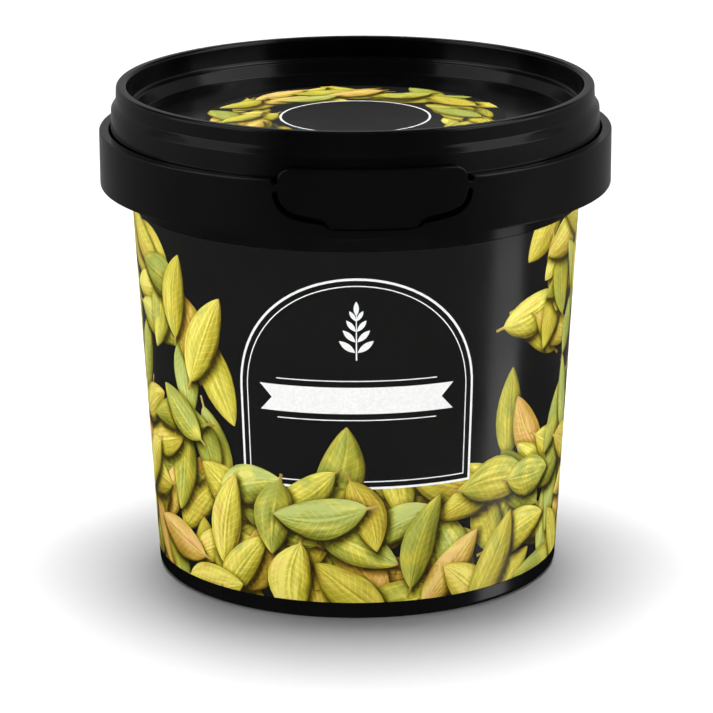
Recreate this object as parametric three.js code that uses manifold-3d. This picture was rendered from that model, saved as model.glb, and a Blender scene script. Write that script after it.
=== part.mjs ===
// Round plastic tub with a press-on lid, a tamper ring with a front tear tab, a wrap label and a lid label.
// Millimetres, +Z up. The origin is the centre of the foot, on the surface that the tub stands on.
// The front, with the tear tab, faces -Y.
import * as THREE from 'three';
import { mergeVertices } from 'three/addons/utils/BufferGeometryUtils.js';
import Module from 'manifold-3d';

const wasm = await Module();
wasm.setup();

// How finely round things are divided: whole turns, and each rounded corner.
const TURN_STEPS = 72;
const CORNER_STEPS = 3;

// Tub wall: a cone that widens upwards.
const WALL_FOOT_RADIUS = 46.9;
const WALL_SLOPE = 0.0557;
const WALL_THICKNESS = 1.2;
const FLOOR_THICKNESS = 1.3;
const FLOOR_CORNER = 3;

// Foot ring under the tub.
const FOOT_CORNER = 1.4;
const FOOT_WIDTH = 3.3;
const FOOT_RECESS = 1.5;
const FOOT_RECESS_SLOPE = 0.8;

// Tamper ring, which stands round the bottom of the lid, and the flange that carries it.
const RING_RADIUS = 59;
const RING_BOTTOM = 91.5;
const RING_TOP = 104.2;
const RING_THICKNESS = 2.2;
const RING_CORNER = 0.4;
const RING_BEVEL = 0.2;
const FLANGE_BOTTOM = 99.2;
const FLANGE_TOP = 100.4;

// Neck of the tub, inside the lid's skirt.
const NECK_OUTER = 54.2;
const NECK_INNER = 52.9;
const NECK_TOP = 108.6;
const NECK_STEP = 1.6;
const NECK_CORNER = 0.5;
const NECK_BEAD = 0.75;
const NECK_BEAD_BOTTOM = 107.1;
const NECK_BEAD_TOP = 107.8;

// Tear tab in the ring, between two curved slots. Widths run along the ring's outer face.
const TAB_CENTRE = 3.95;
const TAB_HALF_WIDTH = 21.1;
const TAB_TOP = 106.7;
const TAB_CORNER = 2.4;
const TAB_NECK_HALF_WIDTH = 9.9;
const SLOT_WIDTH = 1.3;
const SLOT_STEPS = 12;
const NOTCH_WIDTH = 1.6;
const BRIDGE_TOP = 103.1;
const BRIDGE_BOTTOM = 101.7;
const SLOT_BOTTOM = 94.1;
const TAB_GROOVE_HEIGHT = 93.8;
const TAB_GROOVE_SIZE = 0.5;
const TAB_RELIEF = 1.2;

// Lid: outer skirt, which narrows upwards, raised rim, and a stepped recess down to a flat panel.
const LID_SKIRT_RADIUS = 56.5;
const LID_SKIRT_TOP_RADIUS = 56.15;
const LID_SKIRT_INNER = 55.35;
const LID_SKIRT_BOTTOM = 101.5;
const LID_SHOULDER_BOTTOM = 109;
const LID_SHOULDER_TOP = 110.1;
const LID_SHOULDER_RADIUS = 55.4;
const LID_RIM_RADIUS = 54.95;
const LID_RIM_INNER = 52.45;
const LID_RIM_TOP = 114.4;
const LID_RIM_CORNER = 0.8;
const LID_LEDGE_RADIUS = 51.3;
const LID_LEDGE_TOP = 108.9;
const LID_PANEL_RADIUS = 49.7;
const LID_PANEL_TOP = 106;
const LID_PANEL_THICKNESS = 1.2;
const LID_WALL = 0.95;
const LID_BEAD = 0.65;
const LID_BEAD_BOTTOM = 105.2;
const LID_BEAD_TOP = 105.9;

// Printed films. Each lies in a recess of its own depth, so that its face is flush.
const FILM_THICKNESS = 0.25;
const FILM_GAP = 0.05;
const FILM_EDGE_GAP = 0.1;
const WRAP_BOTTOM = 4.1;
const WRAP_TOP = 87;
const WRAP_SEAM = 1.2;
const DISC_RADIUS = 34.5;

const FILM_RECESS = FILM_THICKNESS + FILM_GAP;

// Outer radius of the wall's cone at a height.
const wallRadius = (z) => WALL_FOOT_RADIUS + WALL_SLOPE * z;

// Points of a rounded corner about a centre, from one angle to another, in degrees from the outward direction.
function corner(r, z, radius, from, to) {
  const points = [];
  for (let i = 0; i <= CORNER_STEPS; i++) {
    const angle = THREE.MathUtils.degToRad(from + ((to - from) * i) / CORNER_STEPS);
    points.push([r + radius * Math.cos(angle), z + radius * Math.sin(angle)]);
  }
  return points;
}

// A closed mesh as a solid: equal points are joined and faces with no area are dropped.
function solidOf(geometry) {
  const bare = new THREE.BufferGeometry();
  bare.setAttribute('position', geometry.getAttribute('position'));
  bare.setIndex(geometry.getIndex());
  const merged = mergeVertices(bare, 1e-5);
  const index = merged.getIndex().array;
  const triangles = [];
  for (let i = 0; i < index.length; i += 3) {
    const [a, b, c] = [index[i], index[i + 1], index[i + 2]];
    if (a !== b && b !== c && c !== a) triangles.push(a, b, c);
  }
  return new wasm.Manifold(
    new wasm.Mesh({
      numProp: 3,
      vertProperties: new Float32Array(merged.getAttribute('position').array),
      triVerts: new Uint32Array(triangles),
    }),
  );
}

// A solid back as a mesh's geometry.
function geometryOf(solid) {
  const mesh = solid.getMesh();
  const geometry = new THREE.BufferGeometry();
  geometry.setAttribute('position', new THREE.BufferAttribute(mesh.vertProperties, mesh.numProp));
  geometry.setIndex(new THREE.BufferAttribute(mesh.triVerts, 1));
  geometry.computeVertexNormals();
  return geometry;
}

// A solid of revolution about Z. The outline's radius and height pairs run counter-clockwise.
function turned(outline, closed = true) {
  const points = outline.map(([r, z]) => new THREE.Vector2(r, z));
  if (closed) points.push(points[0].clone());
  return solidOf(new THREE.LatheGeometry(points, TURN_STEPS).rotateX(Math.PI / 2));
}

// A flat shape bent round the axis: its x runs along the ring's outer face, its y upwards, its depth outwards.
function bentRound(shape, innerRadius, outerRadius) {
  const geometry = new THREE.ExtrudeGeometry(shape, { depth: outerRadius - innerRadius, bevelEnabled: false });
  const position = geometry.getAttribute('position');
  for (let i = 0; i < position.count; i++) {
    const angle = position.getX(i) / RING_RADIUS;
    const radius = innerRadius + position.getZ(i);
    position.setXYZ(i, radius * Math.sin(angle), -radius * Math.cos(angle), position.getY(i));
  }
  return solidOf(geometry);
}

// The part of a turned ring that lies within a stretch of the tab's width.
function sector(ring, halfWidth, bottom, top) {
  const steps = 16;
  const shape = new THREE.Shape();
  const at = (i) => TAB_CENTRE - halfWidth + (2 * halfWidth * i) / steps;
  for (let i = 0; i <= steps; i++) {
    if (i === 0) shape.moveTo(at(i), bottom);
    else shape.lineTo(at(i), bottom);
  }
  for (let i = steps; i >= 0; i--) shape.lineTo(at(i), top);
  shape.closePath();
  return ring.intersect(bentRound(shape, RING_RADIUS - 9, RING_RADIUS + 11));
}

// A four-cornered turned ring.
function plainRing(inner, outer, bottom, top) {
  return turned([
    [inner, bottom],
    [outer, bottom],
    [outer, top],
    [inner, top],
  ]);
}

// The wall, foot, flange, tamper ring and neck, as one turned body.
function tubBody() {
  const ringInner = RING_RADIUS - RING_THICKNESS;
  const wallInner = (z) => wallRadius(z) - WALL_THICKNESS;
  const floorTop = FOOT_RECESS + FLOOR_THICKNESS;
  const footOuter = WALL_FOOT_RADIUS - FOOT_CORNER;
  const recessBottom = WRAP_BOTTOM - FILM_EDGE_GAP;
  const recessTop = WRAP_TOP + FILM_EDGE_GAP;
  const beadRadius = NECK_OUTER + NECK_BEAD;
  const stepBottom = FLANGE_TOP - NECK_STEP / 2;
  const stepTop = FLANGE_TOP + NECK_STEP / 2;
  return turned(
    [
      [0, FOOT_RECESS],
      [footOuter - FOOT_WIDTH - FOOT_RECESS_SLOPE, FOOT_RECESS],
      [footOuter - FOOT_WIDTH, 0],
      ...corner(footOuter, FOOT_CORNER, FOOT_CORNER, -90, 0),
      [wallRadius(recessBottom), recessBottom],
      [wallRadius(recessBottom) - FILM_RECESS, recessBottom],
      [wallRadius(recessTop) - FILM_RECESS, recessTop],
      [wallRadius(recessTop), recessTop],
      [wallRadius(FLANGE_BOTTOM), FLANGE_BOTTOM],
      [ringInner, FLANGE_BOTTOM],
      [ringInner, RING_BOTTOM + RING_BEVEL],
      [ringInner + RING_BEVEL, RING_BOTTOM],
      ...corner(RING_RADIUS - RING_CORNER, RING_BOTTOM + RING_CORNER, RING_CORNER, -90, 0),
      ...corner(RING_RADIUS - RING_CORNER, RING_TOP - RING_CORNER, RING_CORNER, 0, 90),
      [ringInner + RING_BEVEL, RING_TOP],
      [ringInner, RING_TOP - RING_BEVEL],
      [ringInner, FLANGE_TOP],
      [NECK_OUTER, FLANGE_TOP],
      [NECK_OUTER, NECK_BEAD_BOTTOM - NECK_BEAD],
      [beadRadius, NECK_BEAD_BOTTOM],
      [beadRadius, NECK_BEAD_TOP],
      [NECK_OUTER, NECK_TOP],
      ...corner(NECK_INNER + NECK_CORNER, NECK_TOP - NECK_CORNER, NECK_CORNER, 90, 180),
      [NECK_INNER, stepTop],
      [wallInner(stepBottom), stepBottom],
      [wallInner(floorTop + FLOOR_CORNER), floorTop + FLOOR_CORNER],
      ...corner(wallInner(floorTop) - FLOOR_CORNER, floorTop + FLOOR_CORNER, FLOOR_CORNER, -30, -90),
      [0, floorTop],
    ],
    false,
  );
}

// The stretch of the tab that stands above the ring.
function tabTop() {
  const bottom = RING_TOP - RING_CORNER - 0.5;
  const inner = RING_RADIUS - RING_THICKNESS;
  const collar = turned([
    [inner, bottom],
    [RING_RADIUS, bottom],
    ...corner(RING_RADIUS - RING_CORNER, TAB_TOP - RING_CORNER, RING_CORNER, 0, 90),
    [inner, TAB_TOP],
  ]);
  const left = TAB_CENTRE - TAB_HALF_WIDTH;
  const right = TAB_CENTRE + TAB_HALF_WIDTH;
  const steps = 16;
  const outline = new THREE.Shape();
  outline.moveTo(left, bottom - 1);
  for (let i = 1; i <= steps; i++) outline.lineTo(left + ((right - left) * i) / steps, bottom - 1);
  outline.lineTo(right, TAB_TOP - TAB_CORNER);
  outline.absarc(right - TAB_CORNER, TAB_TOP - TAB_CORNER + 0.1, TAB_CORNER, 0, Math.PI / 2, false);
  const top = right - left - 2 * TAB_CORNER;
  for (let i = 1; i <= steps; i++) outline.lineTo(right - TAB_CORNER - (top * i) / steps, TAB_TOP + 0.1);
  outline.absarc(left + TAB_CORNER, TAB_TOP - TAB_CORNER + 0.1, TAB_CORNER, Math.PI / 2, Math.PI, false);
  outline.closePath();
  return collar.intersect(bentRound(outline, RING_RADIUS - 9, RING_RADIUS + 11));
}

// One curved slot beside the tab, from under its bridge to the tab's neck. side is -1 for left, 1 for right.
function tabSlot(side) {
  const half = TAB_HALF_WIDTH + SLOT_WIDTH / 2;
  const middle = new THREE.CatmullRomCurve3(
    [
      [half, BRIDGE_BOTTOM - SLOT_WIDTH / 2],
      [half - 0.25, 99.8],
      [half - 1.05, 98.5],
      [half - 2.65, 97.1],
      [half - 5.15, 96.25],
      [half - 8.15, 95.75],
      [TAB_NECK_HALF_WIDTH + 1.3, 95.3],
      [TAB_NECK_HALF_WIDTH, SLOT_BOTTOM],
    ].map(([u, z]) => new THREE.Vector3(TAB_CENTRE + side * u, z, 0)),
  );
  const edge = (i, sign) => {
    const t = i / SLOT_STEPS;
    const point = middle.getPoint(t);
    const along = middle.getTangent(t);
    return [point.x - (sign * along.y * SLOT_WIDTH) / 2, point.y + (sign * along.x * SLOT_WIDTH) / 2];
  };
  const shape = new THREE.Shape();
  shape.moveTo(...edge(0, 1));
  for (let i = 1; i <= SLOT_STEPS; i++) shape.lineTo(...edge(i, 1));
  for (let i = SLOT_STEPS; i >= 0; i--) shape.lineTo(...edge(i, -1));
  shape.closePath();
  return bentRound(shape, RING_RADIUS - RING_THICKNESS - 0.9, RING_RADIUS + 1);
}

// The notch above the bridge, between the tab's side and the ring's end. side is -1 for left, 1 for right.
function bridgeNotch(side) {
  const near = TAB_CENTRE + side * TAB_HALF_WIDTH;
  const far = near + side * NOTCH_WIDTH;
  const shape = new THREE.Shape();
  shape.moveTo(Math.min(near, far), BRIDGE_TOP);
  shape.lineTo(Math.max(near, far), BRIDGE_TOP);
  shape.lineTo(Math.max(near, far), TAB_TOP + 1);
  shape.lineTo(Math.min(near, far), TAB_TOP + 1);
  shape.closePath();
  return bentRound(shape, RING_RADIUS - RING_THICKNESS - 0.9, RING_RADIUS + 1);
}

// The tub: the turned body with the tab raised, slotted free of the ring and relieved from the flange behind it.
function tub() {
  const ringInner = RING_RADIUS - RING_THICKNESS;
  const grooveBottom = TAB_GROOVE_HEIGHT - TAB_GROOVE_SIZE / 2;
  const grooveTop = TAB_GROOVE_HEIGHT + TAB_GROOVE_SIZE / 2;
  const relief = plainRing(ringInner - TAB_RELIEF, ringInner + 0.1, FLANGE_BOTTOM - 0.3, FLANGE_TOP + 0.3);
  const groove = plainRing(RING_RADIUS - TAB_GROOVE_SIZE, RING_RADIUS + 1, grooveBottom, grooveTop);
  return tubBody()
    .add(tabTop())
    .subtract(tabSlot(-1))
    .subtract(tabSlot(1))
    .subtract(bridgeNotch(-1))
    .subtract(bridgeNotch(1))
    .subtract(sector(relief, TAB_HALF_WIDTH + NOTCH_WIDTH, FLANGE_BOTTOM - 1, FLANGE_TOP + 1))
    .subtract(sector(groove, TAB_NECK_HALF_WIDTH - 1, grooveBottom - 1, grooveTop + 1));
}

// The lid: one turned shell, with a narrow slot up inside the rim and a snap bead in the skirt.
function lid() {
  const panelBottom = LID_PANEL_TOP - LID_PANEL_THICKNESS;
  const slotInner = LID_RIM_INNER + LID_WALL;
  const slotOuter = LID_RIM_RADIUS - LID_WALL;
  const slotTop = LID_RIM_TOP - 1.2;
  const discEdge = DISC_RADIUS + FILM_EDGE_GAP;
  return turned(
    [
      [0, panelBottom],
      [LID_PANEL_RADIUS + 1, panelBottom],
      [LID_PANEL_RADIUS + 1.6, panelBottom + 0.5],
      [LID_LEDGE_RADIUS + 1.2, LID_LEDGE_TOP - 1],
      [slotInner, LID_LEDGE_TOP + 0.3],
      [slotInner, slotTop],
      [slotOuter, slotTop],
      [slotOuter, LID_SHOULDER_TOP + 0.1],
      [LID_SKIRT_INNER, LID_SHOULDER_BOTTOM - 0.3],
      [LID_SKIRT_INNER, LID_BEAD_TOP + LID_BEAD],
      [LID_SKIRT_INNER - LID_BEAD, LID_BEAD_TOP],
      [LID_SKIRT_INNER - LID_BEAD, LID_BEAD_BOTTOM],
      [LID_SKIRT_INNER, LID_BEAD_BOTTOM - LID_BEAD],
      [LID_SKIRT_INNER, LID_SKIRT_BOTTOM],
      [LID_SKIRT_RADIUS - 0.2, LID_SKIRT_BOTTOM],
      [LID_SKIRT_RADIUS, LID_SKIRT_BOTTOM + 0.3],
      [LID_SKIRT_TOP_RADIUS, LID_SHOULDER_BOTTOM - 0.2],
      [LID_SKIRT_TOP_RADIUS - 0.15, LID_SHOULDER_BOTTOM + 0.1],
      [LID_SHOULDER_RADIUS, LID_SHOULDER_TOP],
      [LID_RIM_RADIUS + 0.2, LID_SHOULDER_TOP + 0.4],
      ...corner(LID_RIM_RADIUS - LID_RIM_CORNER, LID_RIM_TOP - LID_RIM_CORNER, LID_RIM_CORNER, 0, 90),
      ...corner(LID_RIM_INNER + LID_RIM_CORNER, LID_RIM_TOP - LID_RIM_CORNER, LID_RIM_CORNER, 90, 180),
      [LID_RIM_INNER - 0.1, LID_LEDGE_TOP + 0.9],
      [LID_RIM_INNER - 0.5, LID_LEDGE_TOP + 0.3],
      [LID_LEDGE_RADIUS, LID_LEDGE_TOP],
      [LID_LEDGE_RADIUS - 0.3, LID_LEDGE_TOP - 0.4],
      [LID_PANEL_RADIUS + 0.4, LID_PANEL_TOP + 0.4],
      [LID_PANEL_RADIUS, LID_PANEL_TOP],
      [discEdge, LID_PANEL_TOP],
      [discEdge, LID_PANEL_TOP - FILM_RECESS],
      [0, LID_PANEL_TOP - FILM_RECESS],
    ],
    false,
  );
}

// The wrap label: a thin cone round the wall, open along its seam at the back.
function wrapLabel() {
  const inner = (z) => wallRadius(z) - FILM_THICKNESS;
  const sleeve = turned([
    [inner(WRAP_BOTTOM), WRAP_BOTTOM],
    [wallRadius(WRAP_BOTTOM), WRAP_BOTTOM],
    [wallRadius(WRAP_TOP), WRAP_TOP],
    [inner(WRAP_TOP), WRAP_TOP],
  ]);
  const height = WRAP_TOP - WRAP_BOTTOM;
  const seam = new THREE.BoxGeometry(WRAP_SEAM, WALL_FOOT_RADIUS, height + 2);
  seam.translate(0, WALL_FOOT_RADIUS, WRAP_BOTTOM + height / 2);
  return sleeve.subtract(solidOf(seam));
}

// The lid label: a thin disc on the panel.
function lidLabel() {
  return turned(
    [
      [0, LID_PANEL_TOP - FILM_THICKNESS],
      [DISC_RADIUS, LID_PANEL_TOP - FILM_THICKNESS],
      [DISC_RADIUS, LID_PANEL_TOP],
      [0, LID_PANEL_TOP],
    ],
    false,
  );
}

// A named piece in its own material.
function piece(name, solid, colour, roughness) {
  const material = new THREE.MeshStandardMaterial({ color: colour, roughness, metalness: 0 });
  const mesh = new THREE.Mesh(geometryOf(solid), material);
  mesh.name = name;
  return mesh;
}

const object = new THREE.Group();
object.add(piece('tub', tub(), 0x141414, 0.42));
object.add(piece('lid', lid(), 0x111112, 0.34));
object.add(piece('wrap_label', wrapLabel(), 0x1c1c1a, 0.38));
object.add(piece('lid_label', lidLabel(), 0x1c1c1a, 0.38));

export default object;
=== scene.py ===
"""Looks of a lidded plastic tub: the tub with its tamper ring, the lid, the wrap label and the lid label.

Sizes are in millimetres until a mesh is made. The front, with the tear tab, faces -Y.
"""

import logging
import math
from collections.abc import Callable, Iterator, Mapping, Sequence
from dataclasses import dataclass, field
from enum import Enum
from typing import TypeAlias

import bpy
import numpy as np
from mathutils import Matrix, Vector
from mathutils.geometry import delaunay_2d_cdt


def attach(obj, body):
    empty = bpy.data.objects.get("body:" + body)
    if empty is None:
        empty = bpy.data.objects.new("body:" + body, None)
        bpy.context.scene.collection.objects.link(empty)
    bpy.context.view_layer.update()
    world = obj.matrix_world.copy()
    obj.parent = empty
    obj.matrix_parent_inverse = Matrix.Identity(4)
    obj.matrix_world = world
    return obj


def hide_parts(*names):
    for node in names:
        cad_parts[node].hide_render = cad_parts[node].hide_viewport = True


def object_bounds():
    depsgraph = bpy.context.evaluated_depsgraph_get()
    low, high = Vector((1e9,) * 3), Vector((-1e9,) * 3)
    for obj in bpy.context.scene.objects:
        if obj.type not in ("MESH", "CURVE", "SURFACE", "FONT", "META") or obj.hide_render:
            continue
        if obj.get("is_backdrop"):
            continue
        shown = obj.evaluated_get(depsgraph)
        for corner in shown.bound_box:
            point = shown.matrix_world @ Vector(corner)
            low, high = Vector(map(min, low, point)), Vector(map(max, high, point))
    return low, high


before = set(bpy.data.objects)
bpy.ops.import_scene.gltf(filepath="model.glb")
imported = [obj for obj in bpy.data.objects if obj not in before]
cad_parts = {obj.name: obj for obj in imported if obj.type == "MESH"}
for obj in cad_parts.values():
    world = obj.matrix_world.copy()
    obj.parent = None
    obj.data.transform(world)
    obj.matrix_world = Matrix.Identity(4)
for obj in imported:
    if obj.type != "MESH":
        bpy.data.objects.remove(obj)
solid_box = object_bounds()

log = logging.getLogger("tub")

MM = 0.001
WELD = 2e-4
FLAT_WELD = 1e-5
ARC_STEP = math.radians(11)
BODY = "root"

Pair: TypeAlias = tuple[float, float]
Triple: TypeAlias = tuple[float, float, float]
Placed: TypeAlias = tuple[Triple, Triple]
Entry: TypeAlias = "Value | bpy.types.NodeSocket | float | tuple[float, ...]"


class Slot(Enum):
    """The pieces' material slots."""

    TUB = "tub_plastic"
    LID = "lid_plastic"
    WRAP = "wrap_film"
    DISC = "disc_film"


class Ink(Enum):
    """What a face of a printed film shows."""

    GROUND = 0
    LEAF = 1
    LINE = 2
    BACK = 3


class MapPart(Enum):
    """The parts of a film's map: the two halves of its face with their cut edges, and its back."""

    LEFT = "left"
    RIGHT = "right"
    BACK = "back"


class RingEdge(Enum):
    """The edges of the tamper ring."""

    FOOT = "foot"
    LIP = "lip"
    SLOT = "slot"


@dataclass(frozen=True)
class Station:
    """A point of an outline, with the outward normal before it and after it."""

    x: float
    y: float
    before: Pair
    after: Pair


def _unit(step: np.ndarray) -> np.ndarray:
    """Returns a step scaled to a length of one."""
    return step / np.linalg.norm(step)


def _clamped(value: float) -> float:
    """Returns a number held between zero and one."""
    return min(1.0, max(0.0, value))


def _turned_by(normal: Pair, angle: float) -> Pair:
    """Returns a direction turned counter-clockwise by an angle."""
    c, s = math.cos(angle), math.sin(angle)
    return (normal[0] * c - normal[1] * s, normal[0] * s + normal[1] * c)


def around(radius: float, angle: float, height: float) -> Triple:
    """Returns the point at an angle from the front, towards +X, round the tub's axis."""
    return (radius * math.sin(angle), -radius * math.cos(angle), height)


def rounded(*corners: tuple[float, ...]) -> list[Station]:
    """Traces an outline with its corners rounded. The material lies on the left of the way along it.

    Args:
        corners: Each corner's two coordinates, and the radius that it is rounded to where it has one.

    Returns:
        The points in order.
    """
    spots = [np.array(corner[:2]) for corner in corners]
    ways = [_unit(b - a) for a, b in zip(spots, spots[1:])]
    traced: list[Station] = []
    for corner, here, behind, ahead in zip(corners, spots, ways[:1] + ways, ways + ways[-1:]):
        before, after = (behind[1], -behind[0]), (ahead[1], -ahead[0])
        turn = math.atan2(behind[0] * ahead[1] - behind[1] * ahead[0], float(behind @ ahead))
        if len(corner) < 3 or abs(turn) < 1e-6:
            traced.append(Station(*here, before, after))
            continue
        side = math.copysign(corner[2], turn)
        centre = here - behind * abs(side) * math.tan(abs(turn) / 2) - np.array(before) * side
        pieces = max(2, math.ceil(abs(turn) / ARC_STEP))
        for k in range(pieces + 1):
            normal = _turned_by(before, turn * k / pieces)
            traced.append(Station(*(centre + np.array(normal) * side), normal, normal))
    return traced


def divided(traced: list[Station], longest: float) -> list[Station]:
    """Puts more points on an outline's straight pieces.

    Args:
        traced: The outline's points in order.
        longest: The longest piece that is left undivided.

    Returns:
        The points with the new ones among them.
    """
    full: list[Station] = []
    for a, b in zip(traced, traced[1:]):
        full.append(a)
        pieces = math.ceil(math.hypot(b.x - a.x, b.y - a.y) / longest)
        for t in (k / pieces for k in range(1, pieces)):
            full.append(Station(a.x + (b.x - a.x) * t, a.y + (b.y - a.y) * t, a.after, a.after))
    return full + traced[-1:]


def cut_flat(
    loops: Sequence[Sequence[Pair]], inside: Sequence[Pair]
) -> tuple[list[Pair], list[list[int]], list[list[int]]]:
    """Cuts a flat region into triangles along loops.

    Args:
        loops: The region's border, and then the loops in it, all counter-clockwise.
        inside: More points to cut it at.

    Returns:
        The points, the triangles, and the numbers of the loops that each triangle lies in.
    """
    border, *others = loops
    spots = [*border, *inside]
    spans = [list(range(len(border)))]
    for loop in others:
        spans.append(list(range(len(spots), len(spots) + len(loop))))
        spots.extend(loop)
    found = delaunay_2d_cdt([Vector(spot) for spot in spots], [], spans, 0, FLAT_WELD, True)
    kept = [(face, owners) for face, owners in zip(found[2], found[5]) if 0 in owners]
    return [tuple(spot) for spot in found[0]], [face for face, _ in kept], [owners for _, owners in kept]


@dataclass
class Skin:
    """The faces of one piece in millimetres, with a normal at each corner and an ink on each face."""

    points: list[Triple] = field(default_factory=list)
    normals: list[Triple] = field(default_factory=list)
    sizes: list[int] = field(default_factory=list)
    inks: list[int] = field(default_factory=list)
    prints: dict[str, list[Triple]] = field(default_factory=dict)

    def face(self, corners: Sequence[Placed], ink: Ink = Ink.GROUND) -> None:
        """Adds one face.

        Args:
            corners: Its corners and their normals, counter-clockwise from outside.
            ink: What it shows, on a printed film.
        """
        self.points.extend(point for point, _ in corners)
        self.normals.extend(normal for _, normal in corners)
        self.sizes.append(len(corners))
        self.inks.append(ink.value)

    def strip(self, low: Sequence[Placed], high: Sequence[Placed]) -> None:
        """Joins a chain, which runs to the right seen from outside, to a like one above it by faces."""
        for corners in zip(low, low[1:], high[1:], high):
            self.face(corners)

    def mesh(self, name: str) -> bpy.types.Mesh:
        """Makes the mesh, with equal points joined.

        Args:
            name: The mesh's name.

        Returns:
            The mesh, in metres.
        """
        spots = np.array(self.points, float)
        keys = np.round(spots / WELD).astype(np.int64)
        _, first, joined = np.unique(keys, axis=0, return_index=True, return_inverse=True)
        joined = joined.ravel().tolist()
        faces, kept, inks = [], [], []
        start = 0
        for size, ink in zip(self.sizes, self.inks):
            ends = joined[start : start + size]
            chosen = [k for k in range(size) if ends[k] != ends[k - 1]]
            if len(chosen) > 2:
                faces.append([ends[k] for k in chosen])
                kept.extend(start + k for k in chosen)
                inks.append(ink)
            start += size
        mesh = bpy.data.meshes.new(name)
        mesh.from_pydata((spots[first] * MM).tolist(), [], faces)
        mesh.polygons.foreach_set("use_smooth", [True] * len(faces))
        mesh.polygons.foreach_set("material_index", inks)
        for title, values in self.prints.items():
            chosen_values = np.array(values, np.float32)[kept]
            if title == FilmPrint.MAP:
                mesh.uv_layers.new(name=title).data.foreach_set("uv", chosen_values[:, :2].ravel())
            else:
                held = mesh.attributes.new(title, "FLOAT_VECTOR", "CORNER")
                held.data.foreach_set("vector", chosen_values.ravel())
        mesh.normals_split_custom_set(np.array(self.normals, float)[kept].tolist())
        mesh.update()
        return mesh


def turned_skin(
    stations: list[Station], steps: int, reach: Callable[[float, float], float] | None = None
) -> Skin:
    """Turns an outline about the tub's axis.

    Args:
        stations: The outline's radius and height pairs, from the axis outwards and back to it.
        steps: How many faces go round.
        reach: Changes a radius by the angle from the front, where given.

    Returns:
        The closed skin.
    """
    angles = [2 * math.pi * (j % steps) / steps for j in range(steps + 1)]

    def ring(station: Station, normal: Pair) -> list[Placed]:
        """Turns one station about the axis.

        Args:
            station: The station.
            normal: Its normal on one side.

        Returns:
            The points with their normals.
        """
        radii = [reach(station.x, angle) if reach else station.x for angle in angles]
        return [
            (around(radius, angle, station.y), around(normal[0], angle, normal[1]))
            for radius, angle in zip(radii, angles)
        ]

    skin = Skin()
    for a, b in zip(stations, stations[1:]):
        skin.strip(ring(a, a.after), ring(b, b.before))
    return skin


@dataclass(frozen=True)
class Value:
    """What a node gives: a number, a colour or a place. A number takes plain arithmetic."""

    nodes: "Nodes"
    socket: bpy.types.NodeSocket

    def done(self, kind: str, *others: Entry) -> "Value":
        """Returns what an operation makes of this number and others."""
        return self.nodes.sum(kind, self, *others)

    def __add__(self, other: Entry) -> "Value":
        """Returns the sum."""
        return self.done("ADD", other)

    def __sub__(self, other: Entry) -> "Value":
        """Returns this number less another."""
        return self.done("SUBTRACT", other)

    def __rsub__(self, other: Entry) -> "Value":
        """Returns another number less this one."""
        return self.nodes.sum("SUBTRACT", other, self)

    def __mul__(self, other: Entry) -> "Value":
        """Returns the product."""
        return self.done("MULTIPLY", other)

    def __truediv__(self, other: Entry) -> "Value":
        """Returns the quotient."""
        return self.done("DIVIDE", other)

    def __pow__(self, other: Entry) -> "Value":
        """Returns the power."""
        return self.done("POWER", other)

    def __abs__(self) -> "Value":
        """Returns the number without its sign."""
        return self.done("ABSOLUTE")

    def spread(self, low: float, high: float, to_low: float = 0.0, to_high: float = 1.0) -> "Value":
        """Maps a range smoothly to another, and holds the number there.

        Args:
            low: The start of the range.
            high: Its end.
            to_low: What the start becomes.
            to_high: What the end becomes.

        Returns:
            The mapped number.
        """
        node = self.nodes.add("MapRange", dict(enumerate((self, low, high, to_low, to_high))))
        node.interpolation_type = "SMOOTHSTEP"
        return Value(self.nodes, node.outputs[0])


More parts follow.
